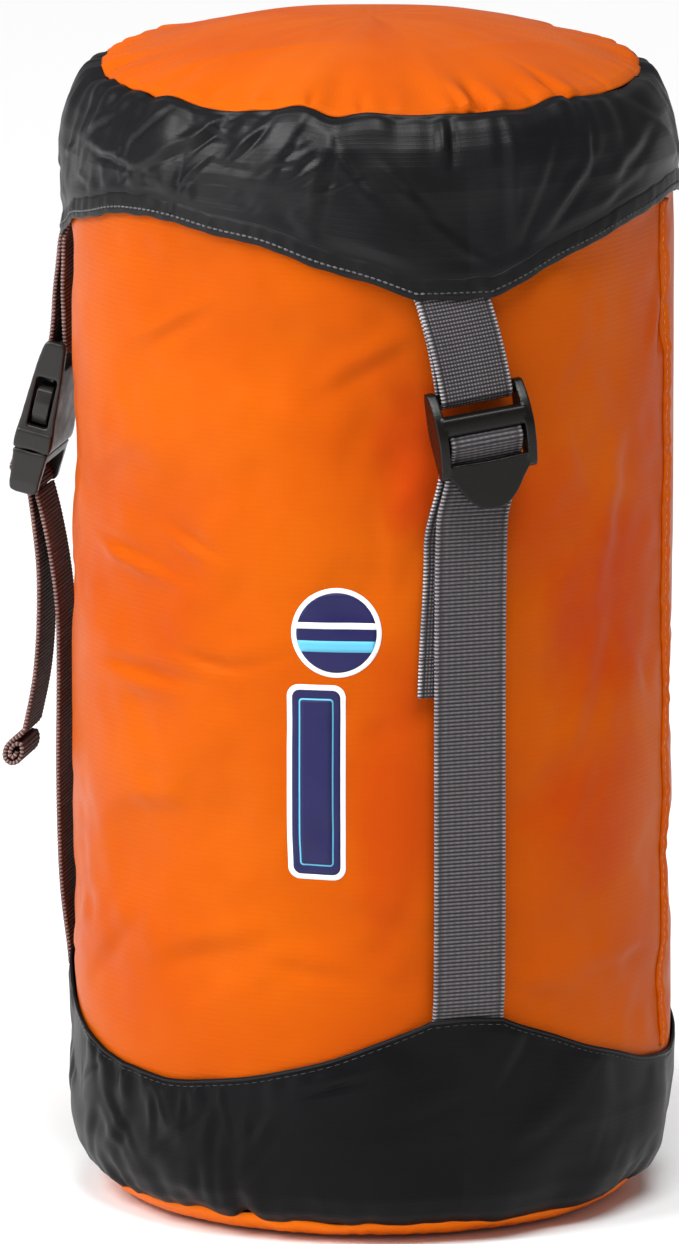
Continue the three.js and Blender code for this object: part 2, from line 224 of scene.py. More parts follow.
def waves(azimuth, lowest, highest, seed):
    """A smooth ripple round the sack, between about -1 and 1, with this many waves to a turn."""
    rng = np.random.default_rng(seed)
    total = np.zeros_like(np.asarray(azimuth, float))
    counts = np.arange(lowest, highest + 1)
    for count in counts:
        total += rng.uniform(0.4, 1) * np.cos(np.radians(azimuth) * count + rng.uniform(0, TAU))
    return total / math.sqrt(len(counts))


def blotches(azimuth, height, wavelength, seed):
    """Smooth unevenness over the fabric, between about -1 and 1, of about this wavelength in mm."""
    terms = 26
    rng = np.random.default_rng(seed)
    total = np.zeros_like(np.asarray(azimuth, float) + np.asarray(height, float))
    round_count = TAU * BODY_RADIUS / wavelength
    for _ in range(terms):
        angle = rng.uniform(0, math.pi)
        reach = rng.uniform(0.6, 1.3)
        count = round(round_count * reach * math.cos(angle))
        upward = TAU / wavelength * reach * math.sin(angle)
        total += np.cos(np.radians(azimuth) * count + upward * height + rng.uniform(0, TAU))
    return total / math.sqrt(terms / 2)


def fold(azimuth, height, at, lean, length, width, depth):
    """One fold at (azimuth, height): a rounded back with a sharper trough on one side. It leans this many
    degrees from upright, rightwards going up."""
    along_round = np.radians(turn_from(azimuth, at[0])) * BODY_RADIUS
    up = height - at[1]
    a = math.radians(lean)
    along = along_round * math.sin(a) + up * math.cos(a)
    across = (along_round * math.cos(a) - up * math.sin(a)) / width
    fade = np.exp(-((along / length) ** 2) * 2.2)
    return depth * fade * (bell(across, 1) - 0.75 * bell(across - 1.25, 0.75))


def scattered(count, draw, azimuths, heights, lean, lengths, widths, depths):
    """Folds at random places; lean() draws how far each one leans, and draw the rest from these ranges."""
    folds = []
    for _ in range(count):
        at = (draw(*azimuths), draw(*heights))
        folds.append((at, lean(), draw(*lengths), draw(*widths), draw(*depths)))
    return folds


def many_folds(azimuth, height, folds):
    total = np.zeros_like(np.asarray(azimuth, float) + np.asarray(height, float))
    for one in folds:
        total += fold(azimuth, height, *one)
    return total


# ---------- mesh making ----------


def mesh_piece(name, points, faces, material, corner_uv):
    """A smooth-shaded mesh from points in mm, with a UV pair in metres for each face corner."""
    mesh = bpy.data.meshes.new(name)
    mesh.from_pydata((np.asarray(points, float) * MM).tolist(), [], [list(map(int, f)) for f in faces])
    layer = mesh.uv_layers.new(name="cloth")
    layer.data.foreach_set("uv", np.asarray(corner_uv, np.float32).ravel())
    mesh.polygons.foreach_set("use_smooth", np.ones(len(mesh.polygons), bool))
    mesh.update()
    mesh.materials.append(material)
    return new_object(name, mesh)


def grid_piece(name, points, uv, material, wrap=False):
    """A sheet from a rows x columns grid of points; wrap joins the last column to the first.
    uv has one column more than points when the sheet wraps."""
    rows, columns = points.shape[:2]
    across = columns if wrap else columns - 1
    row, column = np.meshgrid(np.arange(rows - 1), np.arange(across), indexing="ij")
    following = (column + 1) % columns
    faces = np.stack(
        [
            row * columns + column,
            row * columns + following,
            (row + 1) * columns + following,
            (row + 1) * columns + column,
        ],
        axis=-1,
    ).reshape(-1, 4)
    corners = np.stack(
        [uv[row, column], uv[row, column + 1], uv[row + 1, column + 1], uv[row + 1, column]], axis=2
    )
    return mesh_piece(name, points.reshape(-1, 3), faces, material, corners.reshape(-1, 2) * MM)


def length_along(line):
    """How far along a line of points each of them lies."""
    return np.concatenate([[0], np.cumsum(np.linalg.norm(np.diff(line, axis=0), axis=1))])


def spline(points, steps, closed=False):
    """A smooth curve through points, in this many steps from each one to the next."""
    points = np.array(points, float)
    if closed:
        extended = np.vstack([points[-1:], points, points[:2]])
    else:
        extended = np.vstack([2 * points[0] - points[1], points, 2 * points[-1] - points[-2]])
    t = np.linspace(0, 1, steps, endpoint=False)[:, None]
    parts = []
    for i in range(len(extended) - 3):
        p0, p1, p2, p3 = extended[i : i + 4]
        square = (2 * p0 - 5 * p1 + 4 * p2 - p3) * t**2
        cube = (3 * p1 - p0 - 3 * p2 + p3) * t**3
        parts.append(0.5 * (2 * p1 + (p2 - p0) * t + square + cube))
    return np.vstack(parts if closed else parts + [points[-1:]])


def evenly(line, spacing, count=None):
    """Points at even spacing along a line, and how far along it each of them lies."""
    step = length_along(line)
    stations = np.linspace(0, step[-1], count or max(4, int(step[-1] / spacing)))
    return np.stack([np.interp(stations, step, column) for column in line.T], axis=-1), stations


def around(azimuth, radius, height):
    a = np.radians(azimuth)
    return np.stack(np.broadcast_arrays(radius * np.sin(a), -radius * np.cos(a), height), axis=-1)


def grid_normals(points, wrap):
    """Unit normals of a rows x columns grid, out of the side from which columns run anticlockwise."""
    rise = np.gradient(points, axis=0)
    if wrap:
        run = (np.roll(points, -1, axis=1) - np.roll(points, 1, axis=1)) / 2
    else:
        run = np.gradient(points, axis=1)
    normal = np.cross(run, rise)
    return normal / np.maximum(np.linalg.norm(normal, axis=-1, keepdims=True), 1e-9)


def shell(name, rows, columns, place, relief, material):
    """A round of fabric. place(azimuth, share) gives radius and height, and relief(azimuth, radius, height,
    share) says how far each point stands out from there. Share runs from 0 at one edge to 1 at the other."""
    azimuth = np.arange(columns) * 360 / columns
    azimuth, share = np.meshgrid(azimuth, np.linspace(0, 1, rows))
    radius, height = place(azimuth, share)
    points = around(azimuth, radius, height)
    normal = grid_normals(points, True)
    points = points + normal * relief(azimuth, radius, height, share)[..., None]
    step = np.linalg.norm(np.diff(points, axis=0, prepend=points[:1]), axis=-1)
    up = np.cumsum(step, axis=0).mean(axis=1)
    turn = np.arange(columns + 1) / columns * TAU * BODY_RADIUS
    uv = np.stack(np.meshgrid(turn, up), axis=-1)
    return grid_piece(name, points, uv, material, wrap=True)


def applied(thing):
    """Replaces the object's mesh by the result of its modifiers."""
    graph = bpy.context.evaluated_depsgraph_get()
    mesh = bpy.data.meshes.new_from_object(thing.evaluated_get(graph))
    thing.modifiers.clear()
    old = thing.data
    thing.data = mesh
    mesh.name = thing.name
    bpy.data.meshes.remove(old)
    return thing


def thicken(thing, thickness=FABRIC):
    modifier = thing.modifiers.new("thickness", "SOLIDIFY")
    modifier.thickness = thickness * MM
    modifier.offset = -1
    modifier.use_even_offset = False
    return applied(thing)


def coordinates(thing):
    co = np.zeros(len(thing.data.vertices) * 3)
    thing.data.vertices.foreach_get("co", co)
    return co.reshape(-1, 3)


# ---------- material making ----------


class Finish:
    """A material under construction: its node tree and its Principled shader."""

    def __init__(self, name, **fixed):
        self.material = bpy.data.materials.new(name)
        self.material.use_nodes = True
        self.tree = self.material.node_tree
        self.shader = self.tree.nodes["Principled BSDF"]
        for socket, value in fixed.items():
            self.shader.inputs[socket.replace("_", " ")].default_value = value

    def node(self, kind, inputs=(), **settings):
        """Adds a node; inputs pairs a socket's name or number with a value or with a socket to link."""
        node = self.tree.nodes.new(kind)
        for name, value in settings.items():
            setattr(node, name, value)
        for socket, value in dict(inputs).items():
            if isinstance(value, bpy.types.NodeSocket):
                self.tree.links.new(value, node.inputs[socket])
            else:
                node.inputs[socket].default_value = value
        return node

    def maths(self, operation, *values):
        return self.node("ShaderNodeMath", enumerate(values), operation=operation).outputs[0]

    def mix(self, share, first, second):
        node = self.node("ShaderNodeMix", data_type="RGBA")
        for socket, value in zip([node.inputs[0], node.inputs[6], node.inputs[7]], [share, first, second]):
            if isinstance(value, bpy.types.NodeSocket):
                self.tree.links.new(value, socket)
            else:
                socket.default_value = value
        return node.outputs[2]

    def noise(self, scale, detail, vector, roughness=0.5):
        inputs = {"Scale": scale, "Detail": detail, "Roughness": roughness, "Vector": vector}
        return self.node("ShaderNodeTexNoise", inputs).outputs[0]

    def between(self, value, low_from, high_from, low_to, high_to):
        inputs = {0: value, 1: low_from, 2: high_from, 3: low_to, 4: high_to}
        return self.node("ShaderNodeMapRange", inputs, clamp=True).outputs[0]

    def place(self):
        """The piece's own coordinates in metres: the cloth map, and its across and along parts."""
        uv = self.node("ShaderNodeUVMap", uv_map="cloth").outputs[0]
        parts = self.node("ShaderNodeSeparateXYZ", {0: uv})
        return uv, parts.outputs[0], parts.outputs[1]

    def wave(self, value, period):
        """A cosine of value with this period, in metres."""
        return self.maths("COSINE", self.maths("MULTIPLY", value, TAU / period))

    def bump(self, height, depth):
        return self.node("ShaderNodeBump", {"Height": height, "Distance": depth, "Strength": 1.0}).outputs[0]

    def finish(self, colour=None, roughness=None, normal=None):
        for name, value in [("Base Color", colour), ("Roughness", roughness), ("Normal", normal)]:
            if value is not None:
                self.tree.links.new(value, self.shader.inputs[name])
        return self.material


# Colour of the painted shade patches on the body.
PAINTED_SHADE_TONE = (0.41, 0.038, 0.0028, 1)


def nylon(name, light, dark, gloss, matt, ripstop, shine, tint=(1, 1, 1, 1), thread_depth=0.00003, shade_patches=()):
    """Coated ripstop nylon: a fine plain weave with a thicker thread every few, dulled unevenly by handling.
    Shade patches are painted shade: deeper-coloured places that stand in for the shade of dents and of the
    straps, each an azimuth, a height, half its width in degrees, half its height in mm and a strength."""
    f = Finish(name, Specular_IOR_Level=shine, Specular_Tint=tint, IOR=1.28)
    uv, across, along = f.place()
    broad = f.noise(14.0, 3.0, uv)
    fine = f.noise(220.0, 2.0, uv)
    lines = f.maths("POWER", f.maths("ABSOLUTE", f.wave(along, 2 * ripstop)), 14.0)
    columns = f.maths("POWER", f.maths("ABSOLUTE", f.wave(across, 2 * ripstop)), 14.0)
    grid = f.maths("MAXIMUM", lines, f.maths("MULTIPLY", columns, 0.5))
    weave = f.maths("MULTIPLY", f.wave(along, 0.00042), f.wave(across, 0.00042))
    tone = f.mix(f.between(broad, 0.3, 0.7, 0, 1), light, dark)
    tone = f.mix(f.maths("MULTIPLY", grid, 0.16), tone, dark)
    tone = f.mix(f.between(fine, 0.35, 0.75, 0, 0.12), tone, dark)
    # Painted shade: each patch darkens the orange towards the shade tone, standing in for shade in dents and
    # beside the straps.
    for azimuth, up, half_turn, half_height, strength in shade_patches:
        a = f.maths("DIVIDE", f.maths("SUBTRACT", across, azimuth % 360 / 360 * TAU * BODY_RADIUS * MM),
                    math.radians(half_turn) * BODY_RADIUS * MM)
        b = f.maths("DIVIDE", f.maths("SUBTRACT", along, (up - BODY_BOTTOM) * MM), half_height * MM)
        reach = f.maths("ADD", f.maths("MULTIPLY", a, a), f.maths("MULTIPLY", b, b))
        ragged = f.maths("ADD", reach, f.between(f.noise(45.0, 3.0, uv), 0.3, 0.7, -0.5, 0.5))
        tone = f.mix(f.between(ragged, 0.1, 1.6, strength, 0), tone, PAINTED_SHADE_TONE)
    height = f.maths("ADD", f.maths("MULTIPLY", weave, 0.25), f.maths("MULTIPLY", grid, 1.0))
    rough = f.between(f.noise(38.0, 4.0, uv), 0.3, 0.7, gloss, matt)
    return f.finish(tone, rough, f.bump(height, thread_depth))


def webbing_finish(name, dark, light, edge, rib, cell, gap, reflected_orange_tint=None):
    """Woven strap: rows of yarn across it, with painted shade in the gaps between them and in the groove by
    each selvedge, and pale dotted selvedges. A reflected orange tint, where given, is a painted reflection
    mixed in patches.
    """
    f = Finish(name, Specular_IOR_Level=0.25)
    uv, across, along = f.place()
    # Painted shade: the gaps between the yarn crests are darkened towards the dark colour.
    crest = f.between(f.wave(along, rib), -0.7, 0.9, 0, 1)
    columns = f.between(f.wave(across, cell), -0.6, 0.8, gap, 1)
    yarn = f.maths("MULTIPLY", crest, columns)
    fuzz = f.noise(900.0, 2.0, uv)
    # Random patches: they set where the reflected orange tint shows, which is a painted reflection, and how
    # worn the selvedge dots are.
    wear_and_painted_light = f.noise(70.0, 3.0, uv)
    tone = f.mix(yarn, dark, light)
    # Painted reflection: the orange body's reflection mixed into the strap in patches.
    if reflected_orange_tint is not None:
        tone = f.mix(f.between(wear_and_painted_light, 0.4, 0.65, 0.1, 0.7), tone, reflected_orange_tint)
    tone = f.mix(f.between(fuzz, 0.3, 0.8, 0, 0.35), tone, dark)
    out = f.maths("ABSOLUTE", across)
    near_edge = f.between(out, 0.0107, 0.0112, 0, 1)
    bright = f.between(f.wave(along, rib), 0.0, 0.7, 0.1, 1)
    dots = f.maths("MULTIPLY", bright, f.between(wear_and_painted_light, 0.3, 0.65, 0.4, 1))
    tone = f.mix(f.maths("MULTIPLY", near_edge, dots), tone, edge)
    # Painted shade in the groove just inside each selvedge.
    groove = f.maths("MULTIPLY", f.between(out, 0.0096, 0.0100, 0, 1), f.between(out, 0.0104, 0.0108, 1, 0))
    tone = f.mix(f.maths("MULTIPLY", groove, 0.6), tone, dark)
    height = f.maths("ADD", yarn, f.maths("MULTIPLY", fuzz, 0.3))
    return f.finish(tone, f.between(fuzz, 0.3, 0.7, 0.6, 0.9), f.bump(height, 0.00014))


def plastic(name, base, wear_and_painted_light, gloss, matt, shine):
    """Moulded acetal: a fine spark-eroded grain, a little polished and paler on its edges, partly wear and
    partly a painted highlight along the edges.
    """
    f = Finish(name, Specular_IOR_Level=shine)
    coords = f.node("ShaderNodeTexCoord").outputs["Object"]
    grain = f.noise(1800.0, 2.0, coords)
    scuffs = f.noise(160.0, 5.0, coords, 0.65)
    edges = f.node("ShaderNodeNewGeometry").outputs["Pointiness"]
    # Paler edges: partly wear, partly a painted highlight where the edges catch the light.
    polished_and_highlit = f.maths("MULTIPLY", f.between(edges, 0.52, 0.6, 0, 1), f.between(scuffs, 0.35, 0.6, 0.3, 1))
    tone = f.mix(f.maths("MULTIPLY", polished_and_highlit, 0.5), base, wear_and_painted_light)
    rough = f.between(scuffs, 0.3, 0.7, gloss, matt)
    return f.finish(tone, rough, f.bump(grain, 0.00002))


def printed(name, colour, shade):
    """A printed film heat-pressed on the fabric: even colour, faint weave showing through, tiny scuffs."""
    f = Finish(name, Specular_IOR_Level=0.25)
    uv, across, along = f.place()
    blur = f.noise(60.0, 4.0, uv)
    weave = f.maths("MULTIPLY", f.wave(along, 0.0006), f.wave(across, 0.0006))
    tone = f.mix(f.between(blur, 0.35, 0.7, 0, 0.5), colour, shade)
    return f.finish(tone, f.between(blur, 0.3, 0.7, 0.32, 0.5), f.bump(weave, 0.00002))


def thread_finish(name, colour, shade):
    f = Finish(name, Specular_IOR_Level=0.3)
    coords = f.node("ShaderNodeTexCoord").outputs["Object"]
    twist = f.noise(2600.0, 2.0, coords)
    tone = f.mix(f.between(twist, 0.35, 0.65, 0, 1), colour, shade)
    return f.finish(tone, f.between(twist, 0.3, 0.7, 0.55, 0.85), f.bump(twist, 0.00006))


def braid_finish(name, colour, shade):
    """A braided sheath: two sets of slanting strands."""
    f = Finish(name, Specular_IOR_Level=0.3)
    uv, across, along = f.place()
    left = f.wave(f.maths("ADD", along, across), 0.0012)
    right = f.wave(f.maths("SUBTRACT", along, across), 0.0012)
    strands = f.maths("MULTIPLY", left, right)
    tone = f.mix(f.between(strands, -0.8, 0.8, 0, 1), shade, colour)
    return f.finish(tone, f.between(f.noise(900.0, 2.0, uv), 0.3, 0.7, 0.6, 0.85), f.bump(strands, 0.00015))


def steel(name):
    f = Finish(name, Metallic=1.0)
    coords = f.node("ShaderNodeTexCoord").outputs["Object"]
    drawn = f.noise(700.0, 3.0, coords)
    tone = f.mix(f.between(drawn, 0.3, 0.7, 0, 1), (0.62, 0.62, 0.64, 1), (0.45, 0.45, 0.47, 1))
    return f.finish(tone, f.between(drawn, 0.3, 0.7, 0.22, 0.4), f.bump(drawn, 0.00001))


ORANGE_TINT = (1, 0.62, 0.28, 1)
ORANGE = nylon(
    "orange_ripstop", (0.53, 0.094, 0.0022, 1), (0.46, 0.066, 0.002, 1), 0.34, 0.48, 0.0017, 0.2, ORANGE_TINT
)
# Painted shade on the body: darker patches where dents and the straps cast shade, each an azimuth, a height,
# half its width in degrees, half its height in mm and a strength.
BODY_SHADE_PATCHES = [
    (34, 205, 14, 34, 0.85), (30, 140, 16, 22, 0.7), (-13, 150, 8, 46, 0.55), (-9, 262, 7, 26, 0.8),
    (16, 238, 10, 22, 0.4), (52, 250, 12, 60, 0.35),
]
BODY_ORANGE = nylon(
    "body_ripstop_painted_shade", (0.485, 0.086, 0.0022, 1), (0.415, 0.058, 0.0022, 1), 0.34, 0.48, 0.0017, 0.18,
    ORANGE_TINT, shade_patches=BODY_SHADE_PATCHES,
)
# A lighter copy of the orange ripstop for the base: painted light, brightening the base's edge where it sits
# in shade near the floor.
LIT_BASE_ORANGE = nylon(
    "base_ripstop_painted_light", (0.86, 0.18, 0.004, 1), (0.78, 0.135, 0.004, 1), 0.32, 0.46, 0.0017, 0.26, ORANGE_TINT
)
BLACK_THREAD_DEPTH = 0.000018
SKIRT_BLACK = nylon(
    "skirt_ripstop", (0.006, 0.0054, 0.0068, 1), (0.0024, 0.0022, 0.0027, 1), 0.36, 0.46, 0.0017, 0.5,
    thread_depth=BLACK_THREAD_DEPTH,
)
YOKE_BLACK = nylon(
    "yoke_ripstop", (0.0045, 0.0041, 0.005, 1), (0.002, 0.0019, 0.0022, 1), 0.36, 0.46, 0.0017, 0.22,
    thread_depth=BLACK_THREAD_DEPTH,
)
HEM_BLACK = nylon(
    "black_hem", (0.006, 0.0055, 0.0066, 1), (0.0026, 0.0025, 0.0028, 1), 0.4, 0.52, 0.0012, 0.5
)
GREY_WEBBING = webbing_finish(
    "grey_webbing", (0.02, 0.0185, 0.02, 1), (0.145, 0.129, 0.138, 1), (0.32, 0.29, 0.31, 1),
    0.00125, 0.0021, 0.72,
)
BASKET_WEBBING = webbing_finish(
    "basket_webbing", (0.013, 0.012, 0.013, 1), (0.205, 0.182, 0.195, 1), (0.5, 0.47, 0.49, 1),
    0.0012, 0.00105, 0.25,
)
# The side straps' reddish tones are a painted reflection of the orange body on dark webbing.
SIDE_WEBBING_PAINTED_REFLECTION = webbing_finish(
    "side_webbing_painted_reflection", (0.02, 0.011, 0.01, 1), (0.24, 0.13, 0.112, 1), (0.3, 0.21, 0.195, 1),
    0.00125, 0.0021, 0.7, (0.12, 0.044, 0.034, 1),
)
PLASTIC = plastic("buckle_plastic", (0.0034, 0.0028, 0.0022, 1), (0.014, 0.012, 0.0105, 1), 0.22, 0.38, 0.22)
SIDE_PLASTIC = plastic(
    "side_buckle_plastic", (0.008, 0.0065, 0.006, 1), (0.05, 0.042, 0.04, 1), 0.3, 0.46, 0.4
)
NAVY = printed("navy_print", (0.009, 0.008, 0.062, 1), (0.012, 0.012, 0.074, 1))
WHITE = printed("white_print", (0.82, 0.83, 0.86, 1), (0.74, 0.75, 0.79, 1))
PALE_BLUE = printed("pale_blue_print", (0.10, 0.42, 0.62, 1), (0.09, 0.38, 0.58, 1))
GREY_THREAD = thread_finish("grey_thread", (0.13, 0.126, 0.133, 1), (0.045, 0.045, 0.049, 1))
DARK_THREAD = thread_finish("dark_thread", (0.05, 0.05, 0.052, 1), (0.015, 0.015, 0.016, 1))
ORANGE_THREAD = thread_finish("orange_thread", (0.9, 0.25, 0.05, 1), (0.6, 0.1, 0.01, 1))
CORD = braid_finish("braided_cord", (0.06, 0.06, 0.065, 1), (0.012, 0.012, 0.013, 1))
STEEL = steel("spring_wire")

# ---------- the fabric shells ----------


def hem_edge(azimuth):
    return scallop(np.asarray(azimuth) - HEM_TWIST, HEM_TIP, HEM_HIGH) + 0.5 * waves(azimuth, 9, 20, 4)


def yoke_edge(azimuth):
    uneven = bumps(azimuth, [(-58, 2.0, 26), (58, -1.0, 14)])
    return scallop(azimuth, YOKE_TIP, YOKE_LOW) + uneven + 0.35 * waves(azimuth, 8, 22, 5)


def bumps(azimuth, places):
    """A sum of rounded bumps, each at an azimuth with a height in mm and a half-width in degrees."""
    total = np.zeros_like(np.asarray(azimuth, float))
    for at, rise, reach in places:
        total += rise * bell(turn_from(azimuth, at), reach)
    return total


SEAM_PUCKERS = [
    (-33, 2.6, 4.5), (-52, -1.4, 7), (-26, -1.5, 3), (-19, 1.2, 4), (24, 2.2, 7), (14, -0.8, 5),
    (27.5, -1.2, 1.6), (-64, 0.9, 3), (-70, -0.9, 2),
]
BASE_PUCKERS = [
    (-38, -1.0, 3), (-44, 1.5, 4), (-34.5, 0.8, 1.5), (-57, 1.2, 6), (20, -1.0, 12), (-25, -0.6, 4),
]


def lid_ring_height(azimuth):
    """The puckered seam round the lid, lower at the front."""
    rest = smooth(np.abs(turn_from(azimuth, -20)), 60, 90)
    ripple = waves(azimuth, 11, 30, 11) * (0.28 + 0.55 * rest)
    tipped = LID_RING_HEIGHT - 0.6 - 2.3 * np.cos(np.radians(azimuth + 6))
    return tipped + bumps(azimuth, SEAM_PUCKERS) + ripple


def base_ring_height(azimuth):
    rest = smooth(np.abs(turn_from(azimuth, -10)), 60, 90)
    ripple = waves(azimuth, 10, 26, 12) * (0.2 + 0.5 * rest)
    return BASE_RING_HEIGHT + 1.3 + bumps(azimuth, BASE_PUCKERS) + ripple


def along_profile(profile, share):
    """Radius and height at a share of the way along a side-view line of (radius, height) points."""
    line = np.array(profile, float)
    step = length_along(line)
    step /= step[-1]
    fine = np.linspace(0, 1, 400)
    radius = np.interp(fine, step, line[:, 0])
    height = np.interp(fine, step, line[:, 1])
    kernel = np.hanning(61)
    kernel /= kernel.sum()
    padded = [np.pad(v, 30, mode="reflect", reflect_type="odd") for v in (radius, height)]
    radius, height = (np.convolve(v, kernel, "valid") for v in padded)
    return np.interp(share, fine, radius), np.interp(share, fine, height)


def near_strap(azimuth, width):
    """1 on a strap's line, easing to 0 beyond width degrees from it."""
    nearest = np.min([np.abs(turn_from(azimuth, at)) for at in STRAPS.values()], axis=0)
    return 1 - smooth(nearest, width * 0.5, width)


def slackness(azimuth, reach, core):
    """1 where the black fabric is slack, at the back and at the left, and 0 where it is stretched. The left
    part reaches this many degrees from its middle, and its core is wholly slack."""
    left = smooth(-np.abs(turn_from(azimuth, -62)), -reach, -core)
    back = smooth(np.abs(turn_from(azimuth, 0)), 88, 110)
    return np.maximum(left, back)


def yoke_pull(azimuth):
    """How far the yoke is drawn in beside the left strap, with the body under it."""
    return 1.2 * bell(turn_from(azimuth, -105), 14)


def body_relief(azimuth, radius, height, share):
    dents = 1.1 * blotches(azimuth, height, 95, 21) + 0.55 * blotches(azimuth, height, 42, 22)
    dents += 0.16 * blotches(azimuth, height, 15, 23)
    folds = [
        ((-70, 218), -80, 25, 2.6, 1.7), ((-56, 227), -72, 17, 2.4, 1.3), ((-68, 180), -88, 26, 3.2, 1.7),
        ((-50, 187), -80, 17, 2.6, 1.3), ((-34, 191), -115, 15, 2.6, 0.9), ((-80, 250), 60, 26, 4.0, 0.8),
        ((-60, 300), 62, 24, 3.5, 0.9), ((-74, 290), 48, 22, 3.5, 0.9), ((-40, 196), 80, 20, 3.2, 0.7),
        ((-12, 236), 14, 26, 5, 0.9), ((20, 262), -22, 28, 5, 0.9), ((34, 236), 12, 30, 6, 1.0),
        ((30, 190), 20, 34, 6, 1.0), ((45, 160), -14, 36, 6, 0.9), ((22, 130), 24, 30, 5, 0.8),
        ((52, 290), 30, 24, 4, 0.8), ((14, 300), -40, 20, 4, 0.8), ((-20, 292), 60, 24, 4, 0.6),
        ((-52, 100), 74, 30, 5, 0.9), ((-78, 96), 50, 26, 5, 0.9), ((-30, 96), 100, 26, 4, 0.6),
        ((40, 92), 84, 30, 5, 0.8), ((20, 84), 104, 22, 4, 0.7), ((-64, 144), 84, 30, 5, 0.7),
    ]
    draw = np.random.default_rng(24).uniform
    folds += scattered(60, draw, (70, 260), (70, 320), lambda: draw(-100, 100), (18, 36), (3, 6), (0.5, 1.1))
    dents += 1.5 * many_folds(azimuth, height, folds)
    free = smooth(height, yoke_edge(azimuth) - 6, yoke_edge(azimuth) + 14)
    free = free * (1 - smooth(height, hem_edge(azimuth) - 16, hem_edge(azimuth) + 2))
    strap = near_strap(azimuth, 14)
    creased = bell(turn_from(azimuth, -64), 20) * bell(height - 203, 34)
    outward = 0.35 + (0.45 + 1.1 * creased) * free * (1 - strap)
    inward = 0.5 + 3.0 * free
    tucked = 1 - smooth(height, yoke_edge(azimuth) - 12, yoke_edge(azimuth) - 3)
    tucked = tucked + smooth(height, hem_edge(azimuth) + 3, hem_edge(azimuth) + 12)
    total = limited(dents, outward, inward)
    slack_left = 0.8 * free * bell(turn_from(azimuth, -106), 16)
    behind = np.abs(np.abs(turn_from(azimuth, 0)) - STRAPS["right"])
    pressed = (1 - smooth(behind, 8, 19)) * smooth(height, 226, 250) * (1 - smooth(height, 306, 326))
    under_yoke = 1 - smooth(height, yoke_edge(azimuth) - 2, yoke_edge(azimuth) + 10)
    return total - 2.2 * tucked - slack_left - 2.6 * pressed - yoke_pull(azimuth) * under_yoke


def add_body():
    place = lambda azimuth, share: (
        np.full_like(azimuth, BODY_RADIUS), BODY_BOTTOM + (BODY_TOP - BODY_BOTTOM) * share
    )
    body = shell("body_fabric", 200, 360, place, body_relief, BODY_ORANGE)
    thicken(body)
    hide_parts("body_panel")
    return body


def yoke_relief(azimuth, radius, height, share):
    edge = yoke_edge(azimuth)
    loose = slackness(azimuth, 38, 14)
    ring = waves(azimuth, 30, 62, 31) * (1 - smooth(share, 0.0, 0.3)) * (0.3 + 0.8 * loose)
    pleats = waves(azimuth, 34, 72, 32) * smooth(height, edge - 17, edge - 3) * (0.1 + 0.95 * loose)
    crinkle = 0.7 * blotches(azimuth, height, 46, 33)
    crinkle += (0.06 + 0.2 * loose) * blotches(azimuth, height, 17, 34)
    folds = [
        ((-25, 56.5), 74, 12, 1.9, 1.5), ((-50, 40), 20, 16, 2.6, 0.9), ((-64, 42), 8, 14, 2.0, 0.9),
        ((-40, 34), 36, 18, 2.6, 0.8), ((-8, 50), 70, 22, 4.0, 0.5), ((-76, 30), 50, 16, 2.6, 0.9),
        ((-62, 46), -18, 11, 1.5, 0.9), ((-56, 44), 6, 10, 1.4, 0.9), ((-47, 46), -10, 11, 1.5, 1.0),
        ((8, 62), 30, 16, 3.0, 0.5), ((16, 40), 60, 22, 4.5, 0.5),
    ]
    rng = np.random.default_rng(35)
    for _ in range(64):
        at = (rng.uniform(-180, 180), rng.uniform(12, 62))
        strength = 0.7 * (0.15 + 0.85 * float(at[0] < -40 or at[0] > 88))
        folds.append((at, rng.uniform(-40, 60), rng.uniform(9, 20), rng.uniform(1.6, 3.2), strength))
    total = ring + pleats + crinkle + many_folds(azimuth, height, folds)
    side = smooth(np.abs(turn_from(azimuth, 0)), 60, 80)
    tuck = (1.5 - 1.1 * side) * near_strap(azimuth, 13) * smooth(height, YOKE_TIP - 22, YOKE_TIP - 4)
    tuck -= yoke_pull(azimuth) * smooth(height, 26, 42)
    fixed = 1 - 0.85 * smooth(height, edge - 5, edge)
    total = limited(total, 1.4, 0.55 + 2.2 * (1 - smooth(height, 30, 44)))
    return total * fixed + tuck


def add_yoke():
    rise = [
        (BASE_RING_RADIUS + 1.2, BASE_RING_HEIGHT + 1.2), (92.2, 9.6), (95.8, 16.2), (97.8, 25),
        (YOKE_RADIUS, 36),
    ]
    lower = 0.42

    def place(azimuth, share):
        radius, height = along_profile(rise, np.clip(share / lower, 0, 1))
        lift = base_ring_height(azimuth) - BASE_RING_HEIGHT - 1.2
        height = height + lift * (1 - smooth(share, 0, lower * 0.6))
        upper = np.clip((share - lower) / (1 - lower), 0, 1)
        return radius, height + upper * (yoke_edge(azimuth) - 36)

    yoke = shell("yoke_fabric", 84, 600, place, yoke_relief, YOKE_BLACK)
    thicken(yoke)
    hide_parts("base_yoke")
    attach(yoke, "root")
    return yoke


